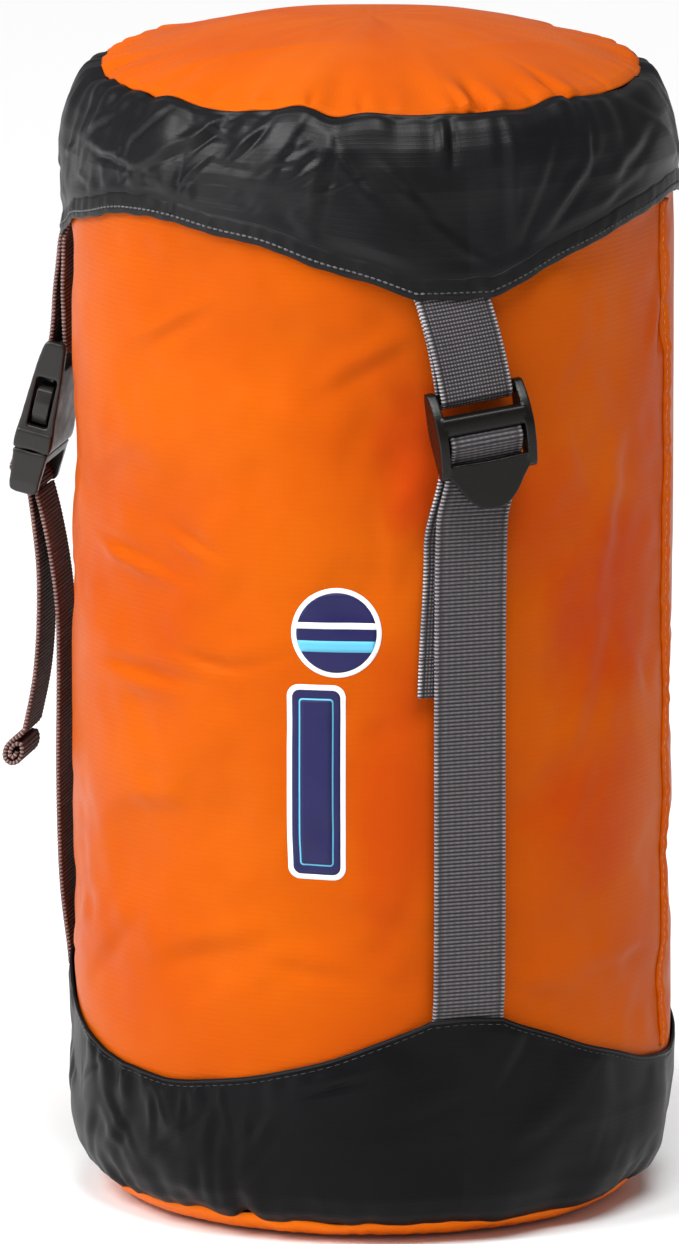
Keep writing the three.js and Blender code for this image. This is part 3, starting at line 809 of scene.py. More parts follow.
def add_base():
    flat = high("base_disc")[0] - 10.5
    lift = 0.5

    def place(azimuth, share):
        rim = BASE_RING_RADIUS + 0.6
        radius = 1.0 + share * (rim - 1.0)
        ring = base_ring_height(azimuth)
        rise = np.clip((radius - flat) / (rim - flat), 0, 1)
        bend = (1 - np.sqrt(np.maximum(0, 1 - 0.86 * rise**2.4))) / (1 - math.sqrt(0.14))
        return radius, lift + (ring - lift) * bend

    def relief(azimuth, radius, height, share):
        pucker = 0.8 * waves(azimuth, 30, 62, 31) * smooth(radius, 74, 84) * (1 - smooth(radius, 84, 86.5))
        return -np.abs(pucker) * 0.7

    base = shell("base_fabric", 110, 320, place, relief, LIT_BASE_ORANGE)
    base.data.flip_normals()
    close_centre(base, 320)
    thicken(base)
    keep_above(base, 0.0)
    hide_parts("base_disc")
    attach(base, "root")


def close_centre(thing, columns):
    """Fills the small ring left in the middle of a disc, which its first row makes."""
    mesh = bmesh.new()
    mesh.from_mesh(thing.data)
    mesh.verts.ensure_lookup_table()
    ring = [mesh.verts[i] for i in range(columns)]
    middle = mesh.verts.new(sum((v.co for v in ring), Vector()) / columns)
    for i in range(columns):
        face = mesh.faces.new((ring[i], ring[(i + 1) % columns], middle))
        face.smooth = True
    bmesh.ops.recalc_face_normals(mesh, faces=mesh.faces[:])
    mesh.to_mesh(thing.data)
    mesh.free()


def keep_above(thing, floor):
    co = coordinates(thing)
    co[:, 2] = np.maximum(co[:, 2], floor * MM)
    thing.data.vertices.foreach_set("co", co.ravel())
    thing.data.update()


def radial_folds(azimuth, radius, places):
    """Tucks that start at the lid's seam and fade towards the middle, each an azimuth, a reach inwards, a
    half-width and a depth."""
    total = np.zeros_like(np.asarray(azimuth + radius, float))
    inward = LID_RING_RADIUS - radius
    for at, reach, width, depth in places:
        sideways = np.radians(turn_from(azimuth, at)) * radius
        spread = width * (0.6 + 0.8 * inward / reach)
        total += depth * bell(sideways, spread) * bell(inward, reach)
    return total * smooth(inward, 0, 2.2)


LID_TUCKS = [
    (6.9, 12, 2.0, -4.2), (3.0, 15, 2.6, 2.6), (-1, 30, 5.0, 1.2), (11.0, 12, 2.6, 1.2), (-12, 18, 4.0, 0.9),
    (-20, 9, 1.8, -1.0), (-31, 8, 1.6, -1.2), (19, 10, 2.0, -0.8), (26, 9, 1.4, -1.8), (31, 16, 3.4, 0.8),
    (-44, 12, 2.4, 0.8), (-56, 10, 2.0, -0.9), (-66, 10, 1.6, -0.9), (44, 16, 3.0, -0.6),
]


def lid_relief(azimuth, radius, height, share):
    rest = smooth(np.abs(turn_from(azimuth, -15)), 62, 90)
    pucker = waves(azimuth, 34, 66, 41) * smooth(radius, 72, 85) * (0.18 + 0.5 * rest)
    roll = -0.9 * smooth(radius, 83.5, 87.6) ** 2
    x = radius * np.sin(np.radians(azimuth))
    y = -radius * np.cos(np.radians(azimuth))
    broad = 0.45 * np.sin(x / 19 + 1.2) * np.cos(y / 23) + 0.3 * np.sin(x / 11 - y / 13)
    broad += 0.5 * np.exp(-(((x + 45) / 30) ** 2) - (((y + 40 + 0.3 * x) / 3.5) ** 2))
    broad += 0.4 * np.exp(-(((x - 30) / 26) ** 2) - (((y + 52 - 0.35 * x) / 3.5) ** 2))
    rng = np.random.default_rng(42)
    tucks = LID_TUCKS + [
        (rng.uniform(60, 285), rng.uniform(8, 16), rng.uniform(1.6, 3), rng.uniform(-1.2, 0.8))
        for _ in range(24)
    ]
    total = pucker + roll + broad * smooth(radius, 10, 50) + radial_folds(azimuth, radius, tucks)
    return total * smooth(radius, 4, 30)


def add_lid_top():
    def place(azimuth, share):
        radius = 1.0 + share * (LID_RING_RADIUS - 1.0)
        mean = LID_RING_HEIGHT - 0.6
        fall = (LID_TOP - 0.8 - mean) * (radius / LID_RING_RADIUS) ** 2.3
        uneven = (lid_ring_height(azimuth) - mean) * smooth(radius, 52, LID_RING_RADIUS + 8)
        return radius, LID_TOP - 0.8 - fall + uneven

    def relief(azimuth, radius, height, share):
        return -lid_relief(azimuth, radius, height, share)

    columns = 600
    lid = shell("lid_fabric", 90, columns, place, relief, ORANGE)
    lid.data.flip_normals()
    close_centre(lid, columns)
    thicken(lid)
    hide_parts("lid_disc")
    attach(lid, "lid")


SKIRT_BEND = 346.0


def skirt_relief(azimuth, radius, height, share):
    edge = hem_edge(azimuth)
    fall = np.maximum(0, lid_ring_height(azimuth) - height)
    loose = slackness(azimuth, 44, 18)
    near_ring = np.exp(-((fall / 12) ** 1.4))
    total = waves(azimuth, 34, 66, 41) * near_ring * (0.45 + 0.7 * loose)
    total += 0.9 * near_ring * smooth(fall, 0, 3)
    gathers = waves(azimuth, 36, 80, 43) * smooth(-(height - edge), -19, -8)
    total += (0.08 + 0.9 * loose) * gathers
    total += 0.6 * blotches(azimuth, height, 48, 44)
    total += (0.08 + 0.14 * loose) * blotches(azimuth, height, 17, 45)
    folds = [
        ((-58, 357), 62, 26, 2.0, 1.3), ((-74, 351), 96, 22, 2.0, 1.2), ((-46, 349), 92, 18, 2.2, 1.0),
        ((-42, 361), 46, 13, 1.6, 1.2), ((-34, 360), 28, 12, 1.7, 1.3), ((-52, 362), 40, 11, 1.5, 1.1),
        ((-66, 363), 52, 12, 1.6, 1.2), ((-82, 360), 60, 15, 1.9, 1.2), ((-28, 348), 12, 20, 2.4, 1.2),
        ((-22, 352), -38, 20, 2.2, 0.6), ((-12, 346), -44, 16, 2.0, 0.5), ((-3, 331), -58, 12, 1.8, 0.5),
        ((-4, 361), 6, 10, 2.4, 1.8), ((7, 346), 3, 30, 2.6, -1.3), ((13, 342), 26, 24, 2.6, 0.8),
        ((20, 340), 46, 24, 2.8, 0.8), ((27, 356), 10, 12, 2.2, 0.9), ((40, 352), 62, 26, 3.2, 0.7),
        ((56, 352), -58, 22, 2.6, 1.3), ((66, 350), -34, 22, 2.4, 1.3), ((62, 340), 74, 18, 2.4, 0.9),
        ((34, 340), 66, 20, 3.0, 0.7), ((1, 325), -62, 14, 2.0, 0.6),
    ]
    rng = np.random.default_rng(46)
    draw, lean = rng.uniform, rng.normal
    side, front, rear = (-100, -26), (-16, 90), (90, 260)
    folds += scattered(36, draw, side, (334, 368), lambda: lean(46, 30), (6, 15), (1.0, 1.9), (0.3, 0.75))
    folds += scattered(12, draw, front, (330, 368), lambda: lean(40, 30), (10, 22), (2.0, 3.6), (0.2, 0.5))
    folds += scattered(60, draw, rear, (328, 371), lambda: draw(-60, 60), (8, 20), (1.6, 3.0), (0.4, 0.9))
    total += many_folds(azimuth, height, folds)
    fixed = (1 - 0.9 * smooth(-(height - edge), -12, -7)) * smooth(fall, 0, 2.5)
    total = limited(total, 2.2, 0.9 + 2.4 * smooth(height, 344, 356))
    return total * fixed + hem_tuck(azimuth, height)


def hem_tuck(azimuth, height):
    """How far the skirt and hem stand out over the webbing that is sewn under them."""
    side = smooth(np.abs(turn_from(azimuth, 0)), 60, 80)
    lowest = 1 - smooth(height, HEM_TIP + 9, HEM_TIP + 30)
    drawn_in = 1.2 * bell(turn_from(azimuth, -102), 9)
    return ((2.3 - 1.3 * side) * near_strap(azimuth + 2, 22) - drawn_in) * lowest


def add_skirt():
    fall = [
        (SKIRT_RADIUS, SKIRT_BEND), (98.6, 353), (96.5, 360), (93.2, 366.5),
        (LID_RING_RADIUS + 1.2, LID_RING_HEIGHT - 0.6),
    ]
    lower = 0.48

    def place(azimuth, share):
        upper = np.clip((share - lower) / (1 - lower), 0, 1)
        radius, height = along_profile(fall, upper)
        height = height + (lid_ring_height(azimuth) - LID_RING_HEIGHT + 0.4) * smooth(upper, 0.2, 1)
        tucked = smooth(np.abs(turn_from(azimuth, -16)), 52, 72) * smooth(upper, 0.84, 1)
        radius, height = radius - 2.2 * tucked, height - 1.5 * tucked
        down = np.clip(1 - share / lower, 0, 1)
        return radius, height - down * (SKIRT_BEND - hem_edge(azimuth))

    skirt = shell("skirt_fabric", 104, 660, place, skirt_relief, SKIRT_BLACK)
    thicken(skirt)
    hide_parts("lid_skirt")
    return skirt


def add_hem():
    """The hem's folded band, laid over the skirt's edge."""
    columns = 480
    section = []
    for angle in np.linspace(0, TAU, 20, endpoint=False):
        out = 0.5 * np.sign(math.cos(angle)) * abs(math.cos(angle)) ** 0.8
        up = HEM_BAND / 2 * np.sign(math.sin(angle)) * abs(math.sin(angle)) ** 0.55
        section.append((out, up))
    azimuth = np.arange(columns) * 360 / columns
    edge = hem_edge(azimuth)
    tuck = hem_tuck(azimuth, edge)
    pucker = 0.28 * waves(azimuth, 60, 110, 51)
    rings = []
    for out, up in section:
        lift = HEM_BAND / 2 + up - 0.6
        middle = math.cos(up / (HEM_BAND / 2) * math.pi / 2)
        lean = -0.35 * smooth(up, 0, HEM_BAND / 2)
        creases = pucker + 0.12 * waves(azimuth, 90, 150, 52)
        stand = SKIRT_RADIUS + 0.1 + lean + out + tuck + creases * middle
        rings.append(around(azimuth, stand, edge + lift + 0.25 * waves(azimuth, 30, 60, 53)))
    points = np.stack(rings + [rings[0]], axis=0)
    turn = np.arange(columns + 1) / columns * TAU * BODY_RADIUS
    up = np.linspace(0, 2 * HEM_BAND, len(points))
    uv = np.stack(np.meshgrid(turn, up), axis=-1)
    hem = grid_piece("hem_band", points, uv, HEM_BLACK, wrap=True)
    merge(hem)
    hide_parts("lid_hem")
    return hem


def merge(thing):
    """Joins points of a mesh that lie in one place, and turns its faces outwards."""
    mesh = bmesh.new()
    mesh.from_mesh(thing.data)
    bmesh.ops.remove_doubles(mesh, verts=mesh.verts[:], dist=1e-6)
    bmesh.ops.recalc_face_normals(mesh, faces=mesh.faces[:])
    mesh.to_mesh(thing.data)
    mesh.free()


def tree_of(*things):
    """A search tree of the surfaces of some pieces, in the row frame."""
    points, faces = [], []
    for thing in things:
        start = len(points)
        points += [v.co.copy() for v in thing.data.vertices]
        faces += [[start + i for i in p.vertices] for p in thing.data.polygons]
    return BVHTree.FromPolygons(points, faces)


def laid_on(tree, azimuth, height, lift):
    """Points in mm that lie this far outside the surface in the tree, at these azimuths and heights."""
    azimuth, height = np.broadcast_arrays(azimuth, height)
    points = np.zeros(azimuth.shape + (3,))
    for index in np.ndindex(azimuth.shape):
        outward = around(azimuth[index], 1.0, 0.0)
        origin = Vector((outward * 0.14 + [0, 0, height[index] * MM]).tolist())
        hit = tree.ray_cast(origin, Vector((-outward).tolist()))[0]
        reach = math.hypot(hit.x, hit.y) / MM if hit else BODY_RADIUS
        points[index] = around(azimuth[index], reach + lift, height[index])
    return points


def tubes(name, lines, radius, material, sides=6, taper=True):
    """Round threads along lines, an array of lines x points x 3; taper narrows both ends."""
    lines = np.asarray(lines, float)
    count, length = lines.shape[:2]
    along = np.gradient(lines, axis=1)
    along /= np.maximum(np.linalg.norm(along, axis=-1, keepdims=True), 1e-9)
    helper = np.where(np.abs(along[..., 2:3]) < 0.8, [[[0.0, 0.0, 1.0]]], [[[1.0, 0.0, 0.0]]])
    first = np.cross(along, helper)
    first /= np.linalg.norm(first, axis=-1, keepdims=True)
    second = np.cross(along, first)
    share = np.linspace(0, 1, length)
    size = radius * (np.clip(np.sin(share * math.pi), 0, 1) ** 0.35 * 0.9 + 0.1 if taper else np.ones(length))
    points = []
    for side in range(sides):
        a = TAU * side / sides
        points.append(lines + size[None, :, None] * (math.cos(a) * first + math.sin(a) * second))
    points = np.stack(points, axis=2)
    index = np.arange(count * length * sides).reshape(count, length, sides)
    following = np.roll(index, -1, axis=2)
    faces = np.stack([index[:, :-1], following[:, :-1], following[:, 1:], index[:, 1:]], axis=-1)
    faces = faces.reshape(-1, 4)
    caps = [list(ring) for ring in index[:, 0]] + [list(ring[::-1]) for ring in index[:, -1]]
    round_it = np.linspace(0, TAU * radius, sides + 1)[None, :] * MM
    along_it = np.linspace(0, 1, length)[:, None] * length_along(lines[0])[-1] * MM
    ring_uv = np.stack(np.broadcast_arrays(round_it, along_it), axis=-1)
    corner = np.stack([ring_uv[:-1, :-1], ring_uv[:-1, 1:], ring_uv[1:, 1:], ring_uv[1:, :-1]], axis=2)
    corner = np.broadcast_to(corner, (count,) + corner.shape).reshape(-1, 2)
    corner = np.concatenate([corner, np.zeros((2 * count * sides, 2))])
    return mesh_piece(name, points.reshape(-1, 3), faces.tolist() + caps, material, corner)


def stitch_lines(path, pitch, gap, lift):
    """Cuts a fine path of points into stitches that rise and dive, each pitch long with a gap between."""
    points = 5
    path = np.asarray(path, float)
    step = length_along(path)
    count = int(step[-1] // pitch)
    lines = []
    for i in range(count):
        stations = np.linspace(i * pitch, (i + 1) * pitch - gap, points)
        line = np.stack([np.interp(stations, step, column) for column in path.T], axis=-1)
        outward = line * [1, 1, 0]
        outward /= np.maximum(np.linalg.norm(outward, axis=1, keepdims=True), 1e-9)
        line += outward * (lift * np.sin(np.linspace(0, math.pi, points)) - 0.12)[:, None]
        lines.append(line)
    return np.array(lines)


def hem_path(azimuth, up, out):
    edge = hem_edge(azimuth)
    return around(azimuth, SKIRT_RADIUS + out + hem_tuck(azimuth, edge), edge + up)


def add_hem_stitching():
    """Grey thread round the left and the back, and black thread right of the front loop."""
    rows = []
    for name, start, end, thread in (("grey", 100, 352, GREY_THREAD), ("black", -8, 100, DARK_THREAD)):
        azimuth = np.linspace(start, end, (end - start) * 5)
        lines = stitch_lines(hem_path(azimuth, 1.7, 0.68), 2.1, 0.35, 0.2)
        rows.append(tubes(f"hem_stitching_{name}", lines, 0.36, thread))
    return rows


def add_yoke_stitching(yoke):
    azimuth = np.linspace(-180, 180, 900)
    tree = tree_of(yoke)
    path = laid_on(tree, azimuth, yoke_edge(azimuth) - 2.2, 0.12)
    second = laid_on(tree, azimuth, yoke_edge(azimuth) - 0.8, 0.05)
    lines = stitch_lines(path, 2.9, 0.8, 0.14)
    rows = tubes("yoke_stitching", lines, 0.15, DARK_THREAD)
    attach(rows, "root")
    piping = tubes("yoke_edge_fold", np.concatenate([second, second[:1]])[None], 0.42, HEM_BLACK, 8, False)
    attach(piping, "root")


body = add_body()
yoke = add_yoke()
add_base()
add_lid_top()
skirt = add_skirt()
hem = add_hem()
hem_stitching = add_hem_stitching()
add_yoke_stitching(yoke)

for cloth_piece in (skirt, hem, *hem_stitching):
    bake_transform(cloth_piece)

# ---------- side seam and printed labels, laid on the body ----------

body_tree = tree_of(body)


def add_side_seam():
    """A felled seam: a lapped strip with a raised edge each side and a row of stitches along it."""
    azimuth = math.degrees(math.atan2(*((low("side_seam") + high("side_seam")) / 2 * [1, -1, 1])[:2]))
    profile = [
        (-3.5, 0.05), (-3.3, 0.75), (-2.7, 0.95), (-2.1, 0.6), (-0.9, 0.42), (0.4, 0.5), (1.2, 1.0),
        (1.8, 1.25), (2.5, 1.0), (2.9, 0.4), (3.3, 0.15), (3.5, 0.03),
    ]
    height = np.arange(low("side_seam")[2], high("side_seam")[2], 1.3)
    waver = 0.55 * np.sin(height / 9.0) + 0.4 * np.sin(height / 4.3 + 1)
    pucker = 0.16 * np.sin(height * TAU / 6.1) + 0.12 * np.sin(height * TAU / 9.7 + 1)
    columns = []
    for across, lift in profile:
        turn = azimuth + np.degrees((across + waver) / BODY_RADIUS)
        columns.append(laid_on(body_tree, turn, height, lift))
        columns[-1][:, :2] *= (1 + pucker * (lift > 0.3) / BODY_RADIUS)[:, None]
    points = np.stack(columns, axis=1)
    uv = np.stack(np.meshgrid([p[0] for p in profile], height), axis=-1)
    seam = grid_piece("side_seam_rib", points, uv, ORANGE)
    thicken(seam, 0.12)
    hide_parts("side_seam")
    path = laid_on(tree_of(seam), azimuth + np.degrees((waver - 0.3) / BODY_RADIUS), height, 0.1)
    stitches = tubes("side_seam_stitching", stitch_lines(path, 2.8, 0.8, 0.15), 0.18, ORANGE_THREAD)
    for one in (seam, stitches):
        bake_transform(one)


def rounded_outline(width, height, corner, steps):
    """Points of a rectangle with round corners, anticlockwise."""
    points = []
    for quarter, (sx, sy) in enumerate([(1, 1), (-1, 1), (-1, -1), (1, -1)]):
        for i in range(steps + 1):
            a = math.radians(90 * quarter + 90 * i / steps)
            points.append((sx * (width / 2 - corner) + corner * math.cos(a),
                           sy * (height / 2 - corner) + corner * math.sin(a)))
    return np.array(points)


PRINT_CELL = 1.2
PRINT_FILM = 0.12


def diced(outline):
    """The points and faces of a filled outline, cut both ways so that it can bend round the sack."""
    flat = bmesh.new()
    flat.faces.new([flat.verts.new((x, y, 0)) for x, y in outline])
    for normal, start, end in zip(np.eye(3), outline.min(axis=0), outline.max(axis=0)):
        for cut in np.arange(start + PRINT_CELL, end - PRINT_CELL / 2, PRINT_CELL):
            whole = flat.verts[:] + flat.edges[:] + flat.faces[:]
            bmesh.ops.bisect_plane(flat, geom=whole, plane_co=normal * cut, plane_no=normal)
    bmesh.ops.triangulate(flat, faces=flat.faces[:])
    flat.verts.index_update()
    places = np.array([v.co for v in flat.verts])[:, :2]
    faces = [[v.index for v in f.verts] for f in flat.faces]
    flat.free()
    return places, faces


def add_print(name, centre, shapes, replaced):
    """Stacked flat prints: each shape is (outline, lift, material), filled and laid on the body."""
    azimuth, middle = centre
    for number, (outline, lift, material) in enumerate(shapes):
        places, faces = diced(outline)
        turn = azimuth + np.degrees(places[:, 0] / BODY_RADIUS)
        points = laid_on(body_tree, turn, middle + places[:, 1], lift)
        corner = np.array([places[i] for f in faces for i in f]) * MM
        piece = mesh_piece(f"{name}_{number + 1}", points, faces, material, corner)
        thicken(piece, PRINT_FILM)
        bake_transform(piece)
    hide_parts(replaced)


def circle_outline(radius, steps=72):
    a = np.arange(steps) * TAU / steps
    return np.stack([radius * np.cos(a), radius * np.sin(a)], axis=-1)


def band_in_circle(radius, bottom, top, steps=24):
    """The part of a circle between two heights, anticlockwise."""
    low_angle, high_angle = math.asin(bottom / radius), math.asin(top / radius)
    right = np.linspace(low_angle, high_angle, steps)
    left = np.pi - right[::-1]
    a = np.concatenate([right, left])
    return np.stack([radius * np.cos(a), radius * np.sin(a)], axis=-1)


def node_place(node):
    centre = (low(node) + high(node)) / 2
    return math.degrees(math.atan2(centre[0], -centre[1])), centre[2]


def add_labels():
    badge = node_place("label_badge")
    add_print("badge_print", badge, [
        (circle_outline(14.5), 0.14, WHITE),
        (circle_outline(12.9), 0.2, NAVY),
        (band_in_circle(12.9, -6.2, -2.6), 0.26, PALE_BLUE),
        (band_in_circle(12.9, 1.2, 3.2), 0.26, WHITE),
    ], "label_badge")
    panel = node_place("label_panel")
    height = high("label_panel")[2] - low("label_panel")[2]
    add_print("label_print", panel, [
        (rounded_outline(19, height, 4, 8), 0.14, WHITE),
        (rounded_outline(15.6, height - 3.4, 2.6, 8), 0.2, NAVY),
        (rounded_outline(11.2, height - 9, 1.2, 6), 0.26, PALE_BLUE),
        (rounded_outline(10.2, height - 10, 0.8, 6), 0.32, NAVY),
    ], "label_panel")


add_side_seam()
add_labels()
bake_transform(body)

# ---------- webbing ----------


def upright(azimuth):
    return Matrix.Rotation(math.radians(azimuth), 4, "Z")


def hung_at(azimuth, bar, turn, axis):
    """The frame of hardware that hangs from a bar at (across, outward, height), turned about its own axis."""
    shift = Matrix.Translation(Vector((bar[0], -bar[1], bar[2])))
    return upright(azimuth) @ shift @ Matrix.Rotation(math.radians(turn), 4, axis)


def placed(matrix, across, out, up):
    local = np.stack(np.broadcast_arrays(across, -np.asarray(out), up, np.ones_like(up)), axis=-1)
    return (local @ np.array(matrix, float).T)[..., :3]


STRAP_SPACING = 0.31


def strap_line(points, spacing=STRAP_SPACING):
    """A strap's smooth side-view line through points, and how far along it each of its points lies."""
    return evenly(spline(points, 24), spacing)


def strap(name, points, matrix, material, sway=None, hug=None, rib=1.25, depth=0.12, start=0.0,
          thickness=WEBBING, spacing=STRAP_SPACING, cell=None):
    """A length of webbing along a side-view path of (outward, height): a flat woven band with ribs across it
    and thicker rounded selvedges. sway(height) shifts it sideways, hug(height) says how far it wraps round
    the sack, and start is where its rib pattern begins."""
    line, along = strap_line(points, spacing)
    tangent = np.gradient(line, axis=0)
    tangent /= np.linalg.norm(tangent, axis=1, keepdims=True)
    normal = np.stack([tangent[:, 1], -tangent[:, 0]], axis=-1)
    half = WEBBING_WIDTH / 2
    nose = 0.7
    flat = np.linspace(-half + nose, half - nose, 24)
    turn = np.radians(np.linspace(-90, 90, 7)[1:-1])
    section = [(x, 1.0) for x in flat]
    section += [(half - nose + nose * math.cos(a), -math.sin(a)) for a in turn]
    section += [(x, -1.0) for x in flat[::-1]]
    section += [(-half + nose - nose * math.cos(a), math.sin(a)) for a in turn]
    rings = []
    phase = TAU * (along + start) / rib
    for x, face in section:
        selvedge = smooth(abs(x), half - 2.0, half - 1.0)
        groove = smooth(abs(x), half - 2.9, half - 2.3) * (1 - selvedge)
        weave = depth * np.cos(phase) * (1 - 0.4 * groove)
        if cell:
            weave = depth * np.cos(phase) * math.cos(TAU * x / cell)
        stand = face * (thickness / 2 - depth + weave * abs(face) + 0.1 * selvedge - 0.16 * groove)
        shift = sway(line[:, 1]) if sway else 0.0
        ripple = 0.1 * np.cos(phase) * (abs(face) < 0.99) * np.sign(x)
        back = (x + shift) ** 2 / (2 * SKIRT_RADIUS) * hug(line[:, 1]) if hug else 0.0
        rings.append(placed(matrix, x + shift + ripple, line[:, 0] + normal[:, 0] * stand - back,
                            line[:, 1] + normal[:, 1] * stand))
    points_3d = np.stack(rings + [rings[0]], axis=1)
    across = np.array([s[0] for s in section] + [section[0][0]])
    uv = np.stack(np.broadcast_arrays(across[None, :], (along + start)[:, None]), axis=-1)
    piece = grid_piece(name, points_3d, uv, material)
    cap_ends(piece, len(along), len(section) + 1)
    merge(piece)
    return piece


def cap_ends(thing, rows, columns):
    """Closes both ends of a swept band with a fan of faces."""
    mesh = bmesh.new()
    mesh.from_mesh(thing.data)
    mesh.verts.ensure_lookup_table()
    for row in (0, rows - 1):
        ring = [mesh.verts[row * columns + i] for i in range(columns - 1)]
        mesh.faces.new(ring if row else ring[::-1])
    mesh.to_mesh(thing.data)
    mesh.free()


def centre_line(node, azimuth):
    """The side-view centre line of a CAD band that rises steadily, as (outward, height) points, downwards."""
    co = coordinates(frame["nodes"][node]) / MM
    a = math.radians(azimuth)
    out = co[:, 0] * math.sin(a) - co[:, 1] * math.cos(a)
    flat = np.unique(np.round(np.stack([co[:, 2], out], axis=-1), 2), axis=0)[::-1]
    keep = [flat[0]]
    for point in flat[1:]:
        if np.abs(point - keep[-1]).max() > 0.05:
            keep.append(point)
    keep = np.array(keep[: len(keep) // 2 * 2])
    middle = (keep[0::2] + keep[1::2]) / 2
    return middle[:, ::-1]


BAR_RADIUS = 1.6
STRAP_BAR_RADIUS = BAR_RADIUS + 0.3
BAR_CLEARANCE = 0.35
FRONT_BAR = (
    joint("front_lock_tilt")["pos_m"][0] / MM,
    -joint("front_lock_tilt")["pos_m"][1] / MM,
    joint("front_lock_tilt")["pos_m"][2] / MM,
)
FRONT_STRAP_BAR = (5.2, -14.0)
FRONT_TURN = -7.0
FRONT_LOOP_TURN = -8.0
SIDE_BAR = (0.0, 101.9, 275.8)
SIDE_TILT = -13.0
PLUG_BAR = (3.3, -41.2)
LAYER_HALF = 0.74


def arc(centre, radius, angles):
    """Points on a circle, at angles in degrees."""
    turns = [math.radians(a) for a in angles]
    return [(centre[0] + radius * math.cos(t), centre[1] + radius * math.sin(t)) for t in turns]


def loop_path(length, spread, top_out):
    """Down the outer layer, round under the bar, and up the inner layer."""
    turn = arc((0, 0), BAR_RADIUS + BAR_CLEARANCE + WEBBING / 2, range(0, -181, -30))
    outer = [(top_out + LAYER_HALF, length), (LAYER_HALF - spread, length - 9), (1.5, 9)]
    inner = [(-1.9 - spread * 0.4, 9), (-LAYER_HALF - spread, length - 9), (top_out - LAYER_HALF, length)]
    return outer + turn + inner


def round_bar(centre, back_leg, front_leg):
    """A strap's turn: up behind the bar, over it and down in front."""
    turn = arc(centre, STRAP_BAR_RADIUS + BAR_CLEARANCE + WEBBING / 2, (165, 130, 95, 60, 25, -10, -40))
    return [back_leg] + turn + [front_leg]


def split_line(line, split):
    """A strap's line cut at a height: the part above, with its length, and the part below."""
    at_split = np.array([np.interp(split, line[::-1, 1], line[::-1, 0]), split])
    upper = [p for p in line if p[1] > split + 3] + [at_split]
    lower = [p for p in line if p[1] < split - 3]
    return upper, strap_line(upper)[1][-1], lower


FRONT_STRAP_END = (98.35, 71.0)
SIDE_STRAP_END = (98.3, 71.0)
ROOM_HEIGHT = 83.0


def add_front_strap():
    """The loop, the turn in the ladder lock, the standing strap and the tail. The standing strap is pushed
    out just above the yoke, to leave room for the end of the tail when the sack is drawn down."""
    lean = hung_at(0, FRONT_BAR, FRONT_LOOP_TURN, "Y")
    curl = lambda up: -0.0022 * np.clip(up, 0, 40) ** 2
    loop = strap("front_loop", loop_path(36.5, 2.0, -3.9), lean, BASKET_WEBBING, sway=curl, rib=1.2,
                 depth=0.13, cell=2.1, hug=lambda up: smooth(up, 14, 30))
    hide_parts("buckle_loop_front")
    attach(loop, "crown")

    turned = hung_at(0, FRONT_BAR, FRONT_TURN, "Y")
    wrap = strap("front_wrap", round_bar(FRONT_STRAP_BAR, (-1.3, -24.6), (1.5, -24.6)), turned,
                 GREY_WEBBING, start=0.4)
    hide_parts("strap_wrap_front")
    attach(wrap, "front_lock")

    split = 236.0
    upright_front = upright(0)
    line = centre_line("strap_front", 0)
    sway = lambda up: 0.6 + 3.2 * smooth(up, 238.0, 258.0)
    upper, upper_length, lower = split_line(line, split)
    way_down = np.array([*lower, FRONT_STRAP_END])
    heights = np.concatenate(
        [np.arange(way_down[0, 1], 100, -6), np.arange(97, FRONT_STRAP_END[1], -2.5), FRONT_STRAP_END[1:]]
    )
    outs = np.interp(heights, way_down[::-1, 1], way_down[::-1, 0])
    outs += bell(heights - ROOM_HEIGHT, np.where(heights < ROOM_HEIGHT, 5, 50))
    lower = [upper[-1], *zip(outs, heights)]
    top = strap("front_strap_top", upper, upright_front, GREY_WEBBING, sway=sway)
    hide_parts("strap_front")
    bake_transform(top)
    rest = strap("front_strap", lower, upright_front, GREY_WEBBING, sway=sway, start=upper_length)
    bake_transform(rest)

    line = centre_line("tail_front", 0)
    sway = lambda up: -2.4 + 4.6 * smooth(up, 232.0, 258.0) - 1.6 * (1 - smooth(up, 190.0, 228.0))
    upper, upper_length, lower = split_line(line, split)
    lower = [upper[-1]] + lower
    top = strap("front_tail_top", upper, upright_front, BASKET_WEBBING, sway=sway)
    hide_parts("tail_front")
    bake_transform(top)
    rest = strap("front_tail", lower, upright_front, BASKET_WEBBING, sway=sway, start=upper_length)
    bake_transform(rest)

    hem_top, hem_bottom = high("tail_end_front")[2], low("tail_end_front")[2]
    out, joined = line[-1]
    down = [(out, joined), (out - 0.15, hem_top - 4), (out - 0.15, hem_bottom)]
    hem_end = strap("front_tail_hem", down, upright_front, BASKET_WEBBING, thickness=WEBBING - 0.15,
                    sway=lambda up: -4.0 - 0.4 * smooth(-up, -195.0, -182.0))
    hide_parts("tail_end_front")
    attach(hem_end, "front_tail_end")


